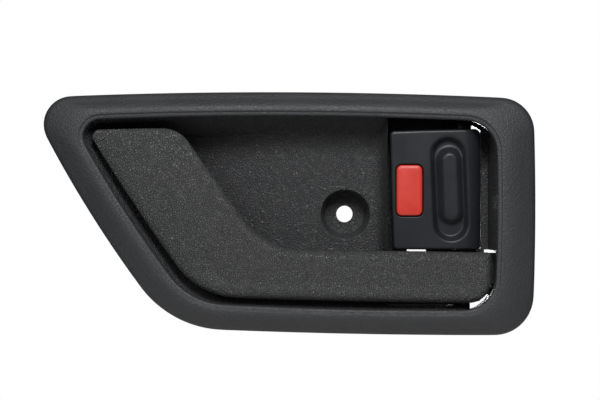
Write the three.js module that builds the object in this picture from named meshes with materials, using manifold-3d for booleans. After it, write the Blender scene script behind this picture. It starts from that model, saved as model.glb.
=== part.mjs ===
// Interior door release handle for a car: bezel, housing with a finger bowl, pull handle and lock lever.
// Millimetres. The origin is the centre of the fixing-screw hole on the plane where the screw boss seats on
// the door's inner panel. +X points to the hinge-pin end, +Z up and +Y into the door; the visible
// face looks along -Y.
import * as THREE from "three";
import { mergeVertices } from "three/addons/utils/BufferGeometryUtils.js";
import Module from "manifold-3d";

const wasm = await Module();
wasm.setup();

// ---- Driving dimensions ----

const GAP = 0.3; // between pieces that touch
const RUN = 0.15; // radial clearance of a turning fit

// Loops are seen from the front: corner points counter-clockwise from the top left, the bow of each side
// that starts at that corner, and each corner's radius (negative where the corner is an inner one).
const OUTER = {
  corners: [[-104.8, 38.3], [-57.0, -37.3], [61.1, -39.7], [61.5, 37.9]],
  bows: [2.6, 0.8, 0.9, 2.1],
  radii: [9.4, 34.2, 12.8, 11.4],
};
const OPENING = {
  corners: [[-89.2, 30.6], [-50.6, -28.6], [48.0, -31.0], [48.5, 30.2]],
  bows: [1.6, 0.9, 0.85, 1.7],
  radii: [5.7, 23.1, 10.2, 10.3],
};
const GRIP = {
  corners: [[-84.6, 27.6], [-48.0, -26.9], [47.4, -29.0], [47.4, -12.5], [-26.5, -11.6], [-54.9, 28.2]],
  bows: [0.9, 0.4, 0.12, 0.15, 0.15, 0.15],
  radii: [2.3, 26, 7.5, 1, -24.5, 9.8],
};

const BEZEL_CROWN_Y = -26.1; // foremost line of the bezel
const BEZEL_RIM_Y = -19; // rear edge of the bezel, over the trim
const LIP_REAR_Y = -22.5; // rear of the bezel's inner lip
const LIP_WIDTH = 1.8;
const SEAL = { thickness: 1.3, outerInset: 0.5, innerInset: 1.8 };

const WALL = 2; // housing wall
const HOUSING_RIM_Y = -22;
const CAVITY_INSET = -1.2; // the bowl's mouth, hidden behind the bezel's lip
const BOWL_DRAFT = 0.62; // inward lean of the bowl's walls per millimetre of depth
const BOWL_DEEP_DRAFT = 0.1; // the same below the floor round the screw cup
const BOWL_DEEP_Y = -6; // bowl floor behind the wing of the handle
const BOWL_SHALLOW_Y = -11.5; // bowl floor round the screw cup
const BOWL_LIP_Y = -20.5; // top of the wall between bowl and pivot bay
const BOWL_TURN_Y = -15.5; // where the floor's rise to that wall steepens
const BAY_LEFT = 13.6; // the pivot bay, open at the rear
const BAY_REAR_Y = -8;
const BAR_SHELF_Y = -14.5; // where the bay's wall is cut down for the bar of the handle
const GUARD = { bottom: -11.8, top: 27.6, frontX: 49.2, rearX: 47.4, returnX: 45.2, rear: -9 };
const CROSS_RIB = { bottom: -13.3, top: -11.7, deepBottom: -16, deepEnd: 30.5, end: 46.4 };
const CROSS_RIB_NOTCH = [20.7, 27.1];
const BAY_FLOOR = { front: -21.6, rampEnd: -18.3, toe: -32, top: -29.95, bottom: -33, right: 39.5 };
const BUSH_SEAT_Z = -31.7;
const CORNER_FLANGE_INSET = 0.15;
const FLOOR_LIP = { foot: -11, front: -10.4, rear: -6, top: -29.25 };
const LEDGE_FRONT_Y = -11.8;
const LEDGE_REAR_Y = -9.2;
const TOP_LEDGE = {
  corners: [[13.1, 33], [13.1, 27.6], [35, 28.1], [35, 33]],
  bows: [0.05, 0.05, 0.05, 0.05],
  radii: [0.4, 0.4, 0.4, 0.4],
};

const SCREW_HOLE_R = 2.8; // clears an M5 screw
const SCREW_BOSS_R = 10;
const CUP_MOUTH_R = 8.15;
const CUP_SEAT_R = 6.7;
const CUP_SEAT_Y = -4;

const PIN = { x: 38.5, y: -14.9, r: 1.75, top: 34.2, bottom: -36.6 };
const HUB_R = 6.1; // knuckles of both levers on the pin
const BUSH_R = 2.7;
const HANDLE_HUB = { bottom: -28.6, top: -13.6 };
const SPRING_BAY = { bottom: -25.2, top: -17.6, r: 6.6 };
const SPRING = { meanR: 4.4, wireR: 0.6, bottom: -24.2, top: -18.7, turns: 4, legs: 10.4 };
const DETENT = { z: 14, turns: [0, 16], screwZ: 29.6, leafFront: -7.4, leafThickness: 0.5, leafWidth: 6 };

const GRIP_FACE_Y = -24.7;
const GRIP_REAR_Y = -18.4;
const GRIP_WALL = 2.2;
const COVER_REAR_Y = -17.5;
const COVER_FRONT_Y = -19.4;
const COVER_SCREWS = [[-60, 6], [-8, -20]];
const STOP = { inset: 1.1, seatY: -15, r: 1.7, stemR: 1, stemEnd: -11.8 };

const LEVER = {
  left: 14.5,
  right: 38.5,
  bottom: -11.4,
  top: 28.1,
  face: -21,
  rear: -16.5,
  lean: 1.1,
  fall: 0.8,
};
const LEVER_COLLAR_TOP = 31;
const LEVER_CROWN = 1.8; // rounded top of the lever's knuckle
const LEVER_TILT = THREE.MathUtils.degToRad(2.3); // dished recess and rib lean with the lever's free edge
const RECESS = { x: 34.0, z: 8.4, halfWidth: 5.7, halfHeight: 17, floor: -18.3 };
const RIB = { x: 34.4, z: 9.3, halfWidth: 3.4, halfHeight: 11.8, top: -21 };
const INDICATOR = { x: 20.8, z: 7.9, halfWidth: 4.25, halfHeight: 8.35, corner: 1.8 };
const INDICATOR_FACE_Y = -20.9;
const INDICATOR_REAR_Y = -18.4;

const ARM_TIP_Y = 8; // rod holes of both bellcrank arms
const ARM_THICKNESS = 3.3;
const HANDLE_ARM = { tipX: 41.5, bottom: -17.1 };
const LOCK_ARM = { tipX: 35.5, bottom: 1.5 };
const ROD_HOLE_R = 1.6;

const BEZEL_POST = { r: 1.9, offsets: [5.6, 4.8, 5.6, 5.6] }; // from the opening, on each corner's diagonal
const EAR = { front: -16.7, rear: -14.7, r: 2.5 };

// ---- Solids from three.js geometry ----

function solid(geometry) {
  const bare = geometry.index ? geometry.toNonIndexed() : geometry.clone();
  const shared = new THREE.BufferGeometry().setAttribute("position", bare.getAttribute("position"));
  const merged = mergeVertices(shared, 1e-4);
  return new wasm.Manifold(
    new wasm.Mesh({
      numProp: 3,
      vertProperties: merged.attributes.position.array,
      triVerts: new Uint32Array(merged.index.array),
    }),
  );
}

const join = (first, ...rest) => rest.reduce((whole, piece) => whole.add(piece), first);
const cut = (first, ...rest) => rest.reduce((whole, piece) => whole.subtract(piece), first);

function block(x0, x1, y0, y1, z0, z1) {
  const geometry = new THREE.BoxGeometry(x1 - x0, y1 - y0, z1 - z0);
  return solid(geometry.translate((x0 + x1) / 2, (y0 + y1) / 2, (z0 + z1) / 2));
}

// A cylinder or cone along Z; r1 is the radius at z1.
function rodZ(x, y, z0, z1, r0, r1 = r0, sides = 24) {
  const geometry = new THREE.CylinderGeometry(r1, r0, z1 - z0, sides).rotateX(Math.PI / 2);
  return solid(geometry.translate(x, y, (z0 + z1) / 2));
}

// A cylinder or cone along Y; r1 is the radius at y1.
function rodY(x, z, y0, y1, r0, r1 = r0, sides = 24) {
  const geometry = new THREE.CylinderGeometry(r1, r0, y1 - y0, sides);
  return solid(geometry.translate(x, (y0 + y1) / 2, z));
}

// A shape in XY, raised along Z.
function raiseZ(shape, z0, z1, curveSegments = 8) {
  const geometry = new THREE.ExtrudeGeometry(shape, { depth: z1 - z0, bevelEnabled: false, curveSegments });
  return solid(geometry.translate(0, 0, z0));
}

// ---- Loops of bowed sides and round corners ----

const CORNER_STEPS = 6;
const SIDE_STEPS = 5;

function circleThrough(a, b, bow) {
  const chord = b.clone().sub(a);
  const sag = Math.max(bow, 1e-3);
  const r = (chord.lengthSq() / 4 + sag * sag) / (2 * sag);
  const outward = new THREE.Vector2(chord.y, -chord.x).normalize();
  return { centre: a.clone().add(b).multiplyScalar(0.5).addScaledVector(outward, sag - r), r };
}

// Centre of the corner arc that touches both neighbouring side arcs.
function cornerCentre(corner, sideIn, sideOut, radius) {
  const d1 = Math.abs(sideIn.r - radius);
  const d2 = Math.abs(sideOut.r - radius);
  const across = sideOut.centre.clone().sub(sideIn.centre);
  const length = across.length();
  const along = (d1 * d1 - d2 * d2 + length * length) / (2 * length);
  const off = Math.sqrt(Math.max(d1 * d1 - along * along, 0));
  const foot = sideIn.centre.clone().addScaledVector(across, along / length);
  const normal = new THREE.Vector2(-across.y, across.x).divideScalar(length);
  const options = [off, -off].map((d) => foot.clone().addScaledVector(normal, d));
  return options.sort((p, q) => p.distanceTo(corner) - q.distanceTo(corner))[0];
}

function arcPoints(centre, from, to, steps) {
  const r = from.distanceTo(centre);
  const start = Math.atan2(from.y - centre.y, from.x - centre.x);
  const end = Math.atan2(to.y - centre.y, to.x - centre.x);
  const turn = THREE.MathUtils.euclideanModulo(end - start + Math.PI, 2 * Math.PI) - Math.PI;
  return Array.from({ length: steps + 1 }, (_, i) => {
    const angle = start + (turn * i) / steps;
    return new THREE.Vector2(centre.x + r * Math.cos(angle), centre.y + r * Math.sin(angle));
  });
}

// The loop moved inwards by inset, always with the same number of points: each corner's arc, then its side.
function loop({ corners, bows, radii }, inset = 0) {
  const count = corners.length;
  const points = corners.map(([x, z]) => new THREE.Vector2(x, z));
  const sides = points.map((p, i) => {
    const side = circleThrough(p, points[(i + 1) % count], bows[i]);
    return { centre: side.centre, r: side.r - inset };
  });
  const arcs = points.map((p, i) => {
    const radius = radii[i] < 0 ? radii[i] - inset : Math.max(radii[i] - inset, 0.4);
    const sideIn = sides[(i + count - 1) % count];
    const centre = cornerCentre(p, sideIn, sides[i], radius);
    const touch = (side) =>
      side.centre.clone().addScaledVector(centre.clone().sub(side.centre).normalize(), side.r);
    return { centre, first: touch(sideIn), last: touch(sides[i]) };
  });
  return arcs.flatMap((arc, i) => [
    ...arcPoints(arc.centre, arc.first, arc.last, CORNER_STEPS),
    ...arcPoints(sides[i].centre, arc.last, arcs[(i + 1) % count].first, SIDE_STEPS).slice(1, -1),
  ]);
}

const atDepth = (points, y) => points.map((p) => new THREE.Vector3(p.x, y, p.y));
const between = (a, b, t) => a.map((p, i) => p.clone().lerp(b[i], t));

// Skins a list of equal rings, from the rear to the front on the outside. The ends are capped, or joined
// to each other when the section closes on itself.
function loft(rings, closed = false) {
  const n = rings[0].length;
  const flat = rings.flat();
  const index = [];
  const pairs = closed ? rings.length : rings.length - 1;
  for (let k = 0; k < pairs; k++) {
    const a = k * n;
    const b = ((k + 1) % rings.length) * n;
    for (let i = 0; i < n; i++) {
      const j = (i + 1) % n;
      index.push(a + i, a + j, b + j, a + i, b + j, b + i);
    }
  }
  const cap = (start, facesFront) => {
    const outline = flat.slice(start, start + n).map((p) => new THREE.Vector2(p.x, p.z));
    for (const [p, q, r] of THREE.ShapeUtils.triangulateShape(outline, [])) {
      const ahead = THREE.ShapeUtils.area([outline[p], outline[q], outline[r]]) > 0 === facesFront;
      index.push(start + p, start + (ahead ? q : r), start + (ahead ? r : q));
    }
  };
  if (!closed) {
    cap(0, false);
    cap((rings.length - 1) * n, true);
  }
  const geometry = new THREE.BufferGeometry().setFromPoints(flat).setIndex(index);
  return solid(geometry);
}

// A flat slab with the loop's outline.
const slab = (outline, inset, rear, front) =>
  loft([atDepth(loop(outline, inset), rear), atDepth(loop(outline, inset), front)]);

// An upright stadium in the XZ plane as a solid between two depths, leaning about its centre.
function stadium({ x, z, halfWidth, halfHeight }, rear, front, grow = 0, growFront = grow) {
  const outline = (extra) => {
    const r = halfWidth + extra;
    const reach = halfHeight - halfWidth;
    const points = [];
    for (let i = 0; i <= 17; i++) {
      const angle = (Math.PI * (i > 8 ? i - 1 : i)) / 8;
      points.push([r * Math.cos(angle), r * Math.sin(angle) + (i > 8 ? -reach : reach)]);
    }
    return points.map(([u, v]) => {
      const p = new THREE.Vector2(u, v).rotateAround(new THREE.Vector2(), LEVER_TILT);
      return new THREE.Vector2(x + p.x, z + p.y);
    });
  };
  return loft([atDepth(outline(grow), rear), atDepth(outline(growFront), front)]);
}

// The loop of an upright rounded rectangle.
const tablet = (x, z, halfWidth, halfHeight, corner) => ({
  corners: [
    [x - halfWidth, z + halfHeight],
    [x - halfWidth, z - halfHeight],
    [x + halfWidth, z - halfHeight],
    [x + halfWidth, z + halfHeight],
  ],
  bows: [0.05, 0.05, 0.05, 0.05],
  radii: [corner, corner, corner, corner],
});

// ---- Places shared by several pieces ----

// The middle of a loop's corner arc.
const cornerMiddle = (points, k) => points[k * (CORNER_STEPS + SIDE_STEPS) + CORNER_STEPS / 2];

const bezelPosts = OUTER.corners.map((_, k) => {
  const inner = cornerMiddle(loop(OPENING), k);
  const away = cornerMiddle(loop(OUTER), k).clone().sub(inner).normalize();
  return { at: inner.clone().addScaledVector(away, BEZEL_POST.offsets[k]), away };
});

// Rubber stops under the rear edge of the handle's wing: one on its slanted side, one on its top edge.
const stopPlaces = [0, GRIP.corners.length - 1].map((side) => {
  const rim = loop(GRIP, STOP.inset);
  const first = side * (CORNER_STEPS + SIDE_STEPS) + CORNER_STEPS;
  return rim[first].clone().lerp(rim[(first + SIDE_STEPS) % rim.length], 0.5);
});

const indicatorOutline = tablet(
  INDICATOR.x,
  INDICATOR.z,
  INDICATOR.halfWidth,
  INDICATOR.halfHeight,
  INDICATOR.corner,
);

const coverScrewPlaces = COVER_SCREWS.map(([x, z]) => new THREE.Vector2(x, z));

// ---- Pieces ----

function bezelFrame() {
  const outer = (inset, y) => atDepth(loop(OUTER, inset), y);
  const mouth = (inset, y) => atDepth(loop(OPENING, inset), y);
  const middle = (y) => atDepth(between(loop(OUTER), loop(OPENING), 0.5), y);
  const shell = loft(
    [
      outer(0.5, BEZEL_RIM_Y),
      outer(0, BEZEL_RIM_Y - 0.5),
      outer(0, -20.6),
      outer(0.7, -21.9),
      outer(2, -22.9),
      middle(-24.9),
      mouth(-2.8, BEZEL_CROWN_Y + 0.1),
      mouth(-1.6, BEZEL_CROWN_Y),
      mouth(-1.3, BEZEL_CROWN_Y + 0.35),
      mouth(-0.5, BEZEL_CROWN_Y + 0.4),
      mouth(0, BEZEL_CROWN_Y + 0.9),
      mouth(0, LIP_REAR_Y),
      mouth(-LIP_WIDTH, LIP_REAR_Y),
      mouth(-LIP_WIDTH - 0.5, -23.8),
      middle(-22.8),
      outer(2.6, -20.8),
      outer(2.3, BEZEL_RIM_Y),
    ],
    true,
  );
  const { r } = BEZEL_POST;
  const posts = bezelPosts.map(({ at }) => rodY(at.x, at.y, -23.2, EAR.front - GAP, r, r, 16));
  const pilots = bezelPosts.map(({ at }) => rodY(at.x, at.y, -21.6, 0, 1.3, 1.3, 12));
  return cut(join(shell, ...posts), ...pilots);
}

// Foam strip round the bezel's rear edge, squeezed against the trim.
function trimSeal() {
  const ring = (inset, y) => atDepth(loop(OUTER, inset), y);
  const front = BEZEL_RIM_Y + GAP;
  const rear = front + SEAL.thickness;
  const { outerInset, innerInset } = SEAL;
  const section = [
    [outerInset, rear],
    [outerInset, front],
    [innerInset, front],
    [innerInset, rear],
  ];
  return loft(section.map(([inset, y]) => ring(inset, y)), true);
}

// Depth profile of the bowl from left to right, filled towards the front.
function bowlProfile(dx, dy) {
  const shape = new THREE.Shape();
  shape.moveTo(-120, -40);
  shape.lineTo(-120, BOWL_DEEP_Y + dy);
  shape.lineTo(-58, BOWL_DEEP_Y + dy);
  shape.bezierCurveTo(-42, BOWL_DEEP_Y + dy, -30, BOWL_SHALLOW_Y + dy, -9, BOWL_SHALLOW_Y + dy);
  shape.lineTo(8 + dx, BOWL_SHALLOW_Y + dy);
  shape.bezierCurveTo(12 + dx, BOWL_SHALLOW_Y + dy, 12.7 + dx, BOWL_TURN_Y + dy, 13.7 + dx, BOWL_LIP_Y + dy);
  shape.lineTo(20, BOWL_LIP_Y + dy);
  shape.lineTo(20, -40);
  return raiseZ(shape, -60, 60);
}

// The bowl's mouth narrowing with depth.
function bowlTaper(grow) {
  const insetAt = (y) => CAVITY_INSET - grow + BOWL_DRAFT * (y - HOUSING_RIM_Y);
  const floorInset = insetAt(BOWL_SHALLOW_Y);
  const rear = BOWL_DEEP_Y + WALL;
  const rearInset = floorInset + BOWL_DEEP_DRAFT * (rear - BOWL_SHALLOW_Y);
  const front = HOUSING_RIM_Y - (grow > 0 ? 0 : 4);
  return loft([
    atDepth(loop(OPENING, rearInset), rear),
    atDepth(loop(OPENING, floorInset), BOWL_SHALLOW_Y),
    atDepth(loop(OPENING, insetAt(HOUSING_RIM_Y)), HOUSING_RIM_Y + 1e-3),
    atDepth(loop(OPENING, insetAt(HOUSING_RIM_Y)), front - 1e-3),
  ]);
}

// Lugs behind the bezel's posts, each with a web into the housing's wall.
function ears() {
  return bezelPosts.map(({ at, away }) => {
    const webLength = 10;
    const web = new THREE.BoxGeometry(webLength, EAR.rear - EAR.front, 2 * EAR.r);
    web.translate(-webLength / 2, 0, 0).rotateY(-Math.atan2(away.y, away.x));
    web.translate(at.x, (EAR.front + EAR.rear) / 2, at.y);
    return join(rodY(at.x, at.y, EAR.front, EAR.rear, EAR.r, EAR.r, 20), solid(web));
  });
}

// Ribs that spread the fixing screw's load from its boss into the bowl's floor.
function bossRibs() {
  const reach = 17;
  const floor = bowlTaper(WALL - 0.5).intersect(block(-reach, BAY_LEFT - WALL, -30, -3, -reach, reach));
  return [20, 110, 200, 290].map((degrees) => {
    const rib = new THREE.BoxGeometry(2 * reach, 6, 1.8).translate(0, -6.3, 0);
    return solid(rib.rotateY(THREE.MathUtils.degToRad(degrees))).intersect(floor);
  });
}

// Wall beside the lever's knuckle, with draft and a short return at its rear.
function knuckleGuard() {
  const shape = new THREE.Shape();
  shape.moveTo(GUARD.frontX, HOUSING_RIM_Y);
  shape.lineTo(52, HOUSING_RIM_Y);
  shape.lineTo(52, GUARD.rear);
  shape.lineTo(GUARD.rearX, GUARD.rear);
  const wall = raiseZ(shape, GUARD.bottom, GUARD.top);
  const rearReturn = block(GUARD.returnX, 50, GUARD.rear - 1.6, GUARD.rear, GUARD.bottom, GUARD.top);
  const reach = slab(OPENING, CAVITY_INSET - WALL, BAY_REAR_Y, HOUSING_RIM_Y);
  return join(wall, rearReturn).intersect(reach);
}

// Parts of the bay's rear: a stop ledge behind the lever's free edge, a notched rib between the levers,
// a wall behind the end of the handle's bar and a flange in the upper corner.
function bayRear() {
  const { bottom, top, deepBottom, deepEnd, end } = CROSS_RIB;
  const front = GUARD.rear - 0.3;
  const rib = join(
    block(BAY_LEFT - 0.5, deepEnd, front, BAY_REAR_Y, deepBottom, top),
    block(deepEnd - 1, end, front, BAY_REAR_Y, bottom, top),
    block(GUARD.returnX, end, GUARD.rear - 1.6, BAY_REAR_Y, bottom, GUARD.bottom + 2),
  );
  const ledge = block(BAY_LEFT - 0.5, BAY_LEFT + 3.5, GUARD.rear - 0.2, BAY_REAR_Y, -14, 30);
  const barEnd = block(GUARD.returnX + 0.2, 51, -12, GUARD.rear, -23.2, -12.9);
  const corner = slab(OPENING, CAVITY_INSET - 0.5, BAY_REAR_Y, -10.5).intersect(
    block(40.2, 55, -11, -7, 22, 34),
  );
  return join(
    cut(rib, block(...CROSS_RIB_NOTCH, -12, -5, bottom - 0.3, top + 1)),
    ledge,
    barEnd,
    cut(corner, slab(OPENING, CORNER_FLANGE_INSET, 0, -20)),
  );
}

// Sloping floor of the bay under the handle's bar, in line with the bowl's wall.
function bayFloor() {
  const { front, toe, rampEnd, top, bottom, right } = BAY_FLOOR;
  const section = [
    [front, bottom],
    [front, toe],
    [rampEnd, top],
    [FLOOR_LIP.foot, top],
    [FLOOR_LIP.front, FLOOR_LIP.top],
    [FLOOR_LIP.rear, FLOOR_LIP.top],
    [FLOOR_LIP.rear, bottom],
  ];
  const shape = new THREE.Shape(section.map(([y, z]) => new THREE.Vector2(y, z)));
  const length = right - BAY_LEFT + 0.5;
  const geometry = new THREE.ExtrudeGeometry(shape, { depth: length, bevelEnabled: false });
  const axes = [new THREE.Vector3(0, 1, 0), new THREE.Vector3(0, 0, 1), new THREE.Vector3(1, 0, 0)];
  geometry.applyMatrix4(new THREE.Matrix4().makeBasis(...axes));
  return solid(geometry.translate(BAY_LEFT - 0.5, 0, 0));
}

function housingBowl() {
  const bowl = bowlTaper(WALL).intersect(bowlProfile(1.5, WALL));
  const bayOuter = slab(OPENING, CAVITY_INSET - WALL, BAY_REAR_Y, HOUSING_RIM_Y);
  const bayWalls = bayOuter.intersect(block(BAY_LEFT - WALL, 70, -30, 0, -60, 60));
  const barShelf = block(3, BAY_LEFT - 0.1, BAR_SHELF_Y, BAR_SHELF_Y + 5, -31, -11.7);
  const boss = rodY(0, 0, -9.6, 0, SCREW_BOSS_R, SCREW_BOSS_R, 36);
  const body = join(bowl, bayWalls, barShelf, boss, ...ears());

  const bowlSide = block(-120, BAY_LEFT + 0.01, -40, 5, -60, 60);
  const cavity = bowlTaper(0).intersect(bowlProfile(0, 0)).intersect(bowlSide);
  const bay = slab(OPENING, CAVITY_INSET, 6, -30).intersect(block(BAY_LEFT, 70, -40, 10, -60, 60));
  const barNotch = block(3.5, BAY_LEFT + 1, -30, BAR_SHELF_Y, -36, -11.7).intersect(bowlTaper(0));
  const hollowed = cut(body, cavity, bay, barNotch);

  const seatPad = rodY(COVER_SCREWS[0][0], COVER_SCREWS[0][1], BOWL_DEEP_Y + 0.5, 0, 5, 5, 20);
  const stopPosts = stopPlaces.map((p) => rodY(p.x, p.y, STOP.seatY, STOP.seatY + 5.5, 3, 3, 16));
  const bayLedges = [
    slab(TOP_LEDGE, 0, LEDGE_REAR_Y, LEDGE_FRONT_Y),
    block(32.5, 40.5, LEDGE_FRONT_Y, LEDGE_REAR_Y, LEVER.top + GAP, 33),
    bayFloor(),
  ];
  const tabFront = DETENT.leafFront + DETENT.leafThickness + GAP + 0.1;
  const detentTab = join(
    block(PIN.x - 4, PIN.x + 4, tabFront, tabFront + 2.3, 25.5, 33.4),
    block(PIN.x - 4, PIN.x + 4, -12, tabFront + 2.3, 31.5, 33.6),
  );
  const springLedge = block(47.6, 51, -9.5, BAY_REAR_Y, -27, -22);
  const finished = join(
    hollowed,
    seatPad,
    detentTab,
    springLedge,
    knuckleGuard(),
    bayRear(),
    ...stopPosts,
    ...bossRibs(),
    ...bayLedges,
  );

  const postWay = BEZEL_POST.r + GAP;
  const stopWay = STOP.r + GAP;
  const stemWay = STOP.stemR + GAP;
  return cut(
    finished,
    rodY(0, 0, BOWL_SHALLOW_Y - 1, CUP_SEAT_Y, CUP_MOUTH_R + 0.2, CUP_SEAT_R, 36),
    rodY(0, 0, -20, 5, SCREW_HOLE_R),
    rodZ(PIN.x, PIN.y, -50, 50, PIN.r + RUN),
    rodZ(PIN.x, PIN.y, BUSH_SEAT_Z, BAY_FLOOR.top + 1, BUSH_R + GAP),
    rodY(PIN.x, DETENT.screwZ, -12, 0, 0.9, 0.9, 12),
    ...stopPlaces.map((p) => rodY(p.x, p.y, -20, STOP.seatY, stopWay, stopWay, 16)),
    ...stopPlaces.map((p) => rodY(p.x, p.y, -16, STOP.stemEnd + 0.4, stemWay, stemWay, 12)),
    ...bezelPosts.map(({ at }) => rodY(at.x, at.y, EAR.front - 1, EAR.rear + 1, 1.4, 1.4, 12)),
    ...bezelPosts.map(({ at }) => rodY(at.x, at.y, -24, EAR.front, postWay, postWay, 16)),
  );
}

function handleFrontShell() {
  const ring = (inset, y) => atDepth(loop(GRIP, inset), y);
  const shell = loft([
    ring(GRIP_WALL + 0.3, -22.3),
    ring(GRIP_WALL, GRIP_REAR_Y),
    ring(0.4, GRIP_REAR_Y),
    ring(0, GRIP_REAR_Y - 0.5),
    ring(0, -22.3),
    ring(0.7, -23.6),
    ring(2, GRIP_FACE_Y + 0.35),
    ring(4.5, GRIP_FACE_Y),
  ]);
  const { bottom, top } = HANDLE_HUB;
  const hubCore = block(33.8, PIN.x + HUB_R - 0.4, -22.6, PIN.y, bottom + 1.5, top - 0.2);
  const hub = rodZ(PIN.x, PIN.y, bottom, top, HUB_R, HUB_R, 32);
  const posts = coverScrewPlaces.map((p) => rodY(p.x, p.y, -22.6, -19.7, 2.6, 2.6, 16));
  const pilots = coverScrewPlaces.map((p) => rodY(p.x, p.y, -22, 0, 1.1, 1.1, 12));
  const springBay = rodZ(PIN.x, PIN.y, SPRING_BAY.bottom, SPRING_BAY.top, SPRING_BAY.r, SPRING_BAY.r, 32);
  const springWay = block(PIN.x - SPRING_BAY.r, 60, PIN.y, 5, SPRING_BAY.bottom, SPRING_BAY.top);
  const pinHole = rodZ(PIN.x, PIN.y, -40, 0, PIN.r + RUN);
  const arm = bellcrank(HANDLE_ARM, top - HANDLE_ARM.bottom);
  return cut(join(shell, hubCore, hub, arm, ...posts), springBay, springWay, pinHole, ...pilots);
}

// Arm from a knuckle into the door, with a hole for the rod clip.
function bellcrank({ tipX, bottom }, thickness) {
  const tip = new THREE.Vector2(tipX, ARM_TIP_Y);
  const shape = new THREE.Shape();
  shape.moveTo(PIN.x - 5.2, PIN.y);
  shape.lineTo(PIN.x + 5.2, PIN.y);
  shape.lineTo(tip.x + 3.9, tip.y);
  shape.absarc(tip.x, tip.y, 3.9, 0, Math.PI, false);
  const hole = rodZ(tip.x, tip.y, bottom - 1, bottom + thickness + 1, ROD_HOLE_R, ROD_HOLE_R, 16);
  return cut(raiseZ(shape, bottom, bottom + thickness), hole);
}

function handleBackCover() {
  const inset = GRIP_WALL + GAP;
  const ring = (extra, y) => atDepth(loop(GRIP, inset + extra), y);
  const plate = loft([ring(0.8, COVER_REAR_Y), ring(0, COVER_REAR_Y - 0.6), ring(0, COVER_FRONT_Y)]);
  const hubRelief = block(PIN.x - HUB_R + 0.1, 60, -40, 0, -40, 0);
  const holes = coverScrewPlaces.map((p) => rodY(p.x, p.y, -30, 0, 1.4, 1.4, 12));
  return cut(plate, hubRelief, ...holes);
}

// Pan-head screw along Y: its head sits on seatY and its tip is at tipY.
function screwY(x, z, seatY, tipY, headR, shankR) {
  const away = Math.sign(seatY - tipY);
  const headTop = seatY + away * headR * 0.65;
  const span = (from, to) => [Math.min(from, to), Math.max(from, to)];
  const [headLow, headHigh] = span(seatY, headTop);
  const crownR = headR * 0.7;
  const headRadii = away > 0 ? [headR, crownR] : [crownR, headR];
  const head = rodY(x, z, headLow, headHigh, ...headRadii, 20);
  const shank = rodY(x, z, ...span(tipY, seatY + away * 0.01), shankR, shankR, 12);
  const [slotLow, slotHigh] = span(headTop - away * headR * 0.3, headTop + away);
  const long = headR * 0.5;
  const thin = headR * 0.1;
  return cut(
    join(head, shank),
    block(x - long, x + long, slotLow, slotHigh, z - thin, z + thin),
    block(x - thin, x + thin, slotLow, slotHigh, z - long, z + long),
  );
}

function lockLever() {
  const { left, right, bottom, top, face, rear, lean, fall } = LEVER;
  const outline = {
    corners: [[left, top - fall], [left + lean, bottom], [right, bottom], [right, top - 0.2]],
    bows: [0.1, 0.1, 0.1, 0.1],
    radii: [1.2, 1.2, 0.5, 0.5],
  };
  const ring = (inset, y) => atDepth(loop(outline, inset), y);
  const plate = loft([ring(0, rear), ring(0, face + 0.5), ring(0.5, face)]);
  const knuckle = join(
    rodZ(PIN.x, PIN.y, bottom, top - LEVER_CROWN, HUB_R, HUB_R, 40),
    rodZ(PIN.x, PIN.y, top - LEVER_CROWN, top - 0.5, HUB_R, HUB_R - 0.6, 40),
    rodZ(PIN.x, PIN.y, top - 0.5, top, HUB_R - 0.6, HUB_R - LEVER_CROWN, 40),
  );
  const collar = rodZ(PIN.x, PIN.y, top - 1, LEVER_COLLAR_TOP, 2.5);
  const arm = bellcrank(LOCK_ARM, ARM_THICKNESS);
  const recess = stadium(RECESS, RECESS.floor, face - 1, -1.2, 0.3);
  const rib = stadium(RIB, RECESS.floor + 1, RIB.top, 0.2, -1.2);
  const pocket = slab(indicatorOutline, -GAP, INDICATOR_REAR_Y + GAP, face - 1);
  const detents = DETENT.turns.map((degrees) => {
    const angle = THREE.MathUtils.degToRad(90 + degrees);
    const reach = HUB_R + 0.3;
    const notch = new THREE.CylinderGeometry(0.9, 0.9, 5, 4).rotateX(Math.PI / 2);
    notch.translate(PIN.x + reach * Math.cos(angle), PIN.y + reach * Math.sin(angle), DETENT.z);
    return solid(notch);
  });
  const pinHole = rodZ(PIN.x, PIN.y, bottom - 1, top + 5, PIN.r + RUN);
  const blank = cut(join(plate, knuckle, collar, arm), recess, pocket, ...detents);
  return cut(join(blank, rib), pinHole);
}

function lockIndicator() {
  const ring = (inset, y) => atDepth(loop(indicatorOutline, inset), y);
  return loft([ring(0, INDICATOR_REAR_Y), ring(0, INDICATOR_FACE_Y + 0.7), ring(0.9, INDICATOR_FACE_Y)]);
}

function pivotPin() {
  const head = rodZ(PIN.x, PIN.y, PIN.top, PIN.top + 1.1, 3, 2.5);
  const tip = rodZ(PIN.x, PIN.y, PIN.bottom, PIN.bottom + 0.6, PIN.r - 0.5, PIN.r);
  return join(head, tip, rodZ(PIN.x, PIN.y, PIN.bottom + 0.59, PIN.top + 0.1, PIN.r));
}

function pinPushNut() {
  const dish = rodZ(PIN.x, PIN.y, -35.7, -34.7, 3.2, 4.4, 24);
  return cut(dish, rodZ(PIN.x, PIN.y, -40, -30, PIN.r + GAP));
}

// A washer or bush on the pivot pin.
function pinRing(z0, z1, outerR) {
  return cut(rodZ(PIN.x, PIN.y, z0, z1, outerR), rodZ(PIN.x, PIN.y, z0 - 1, z1 + 1, PIN.r + RUN));
}

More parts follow.
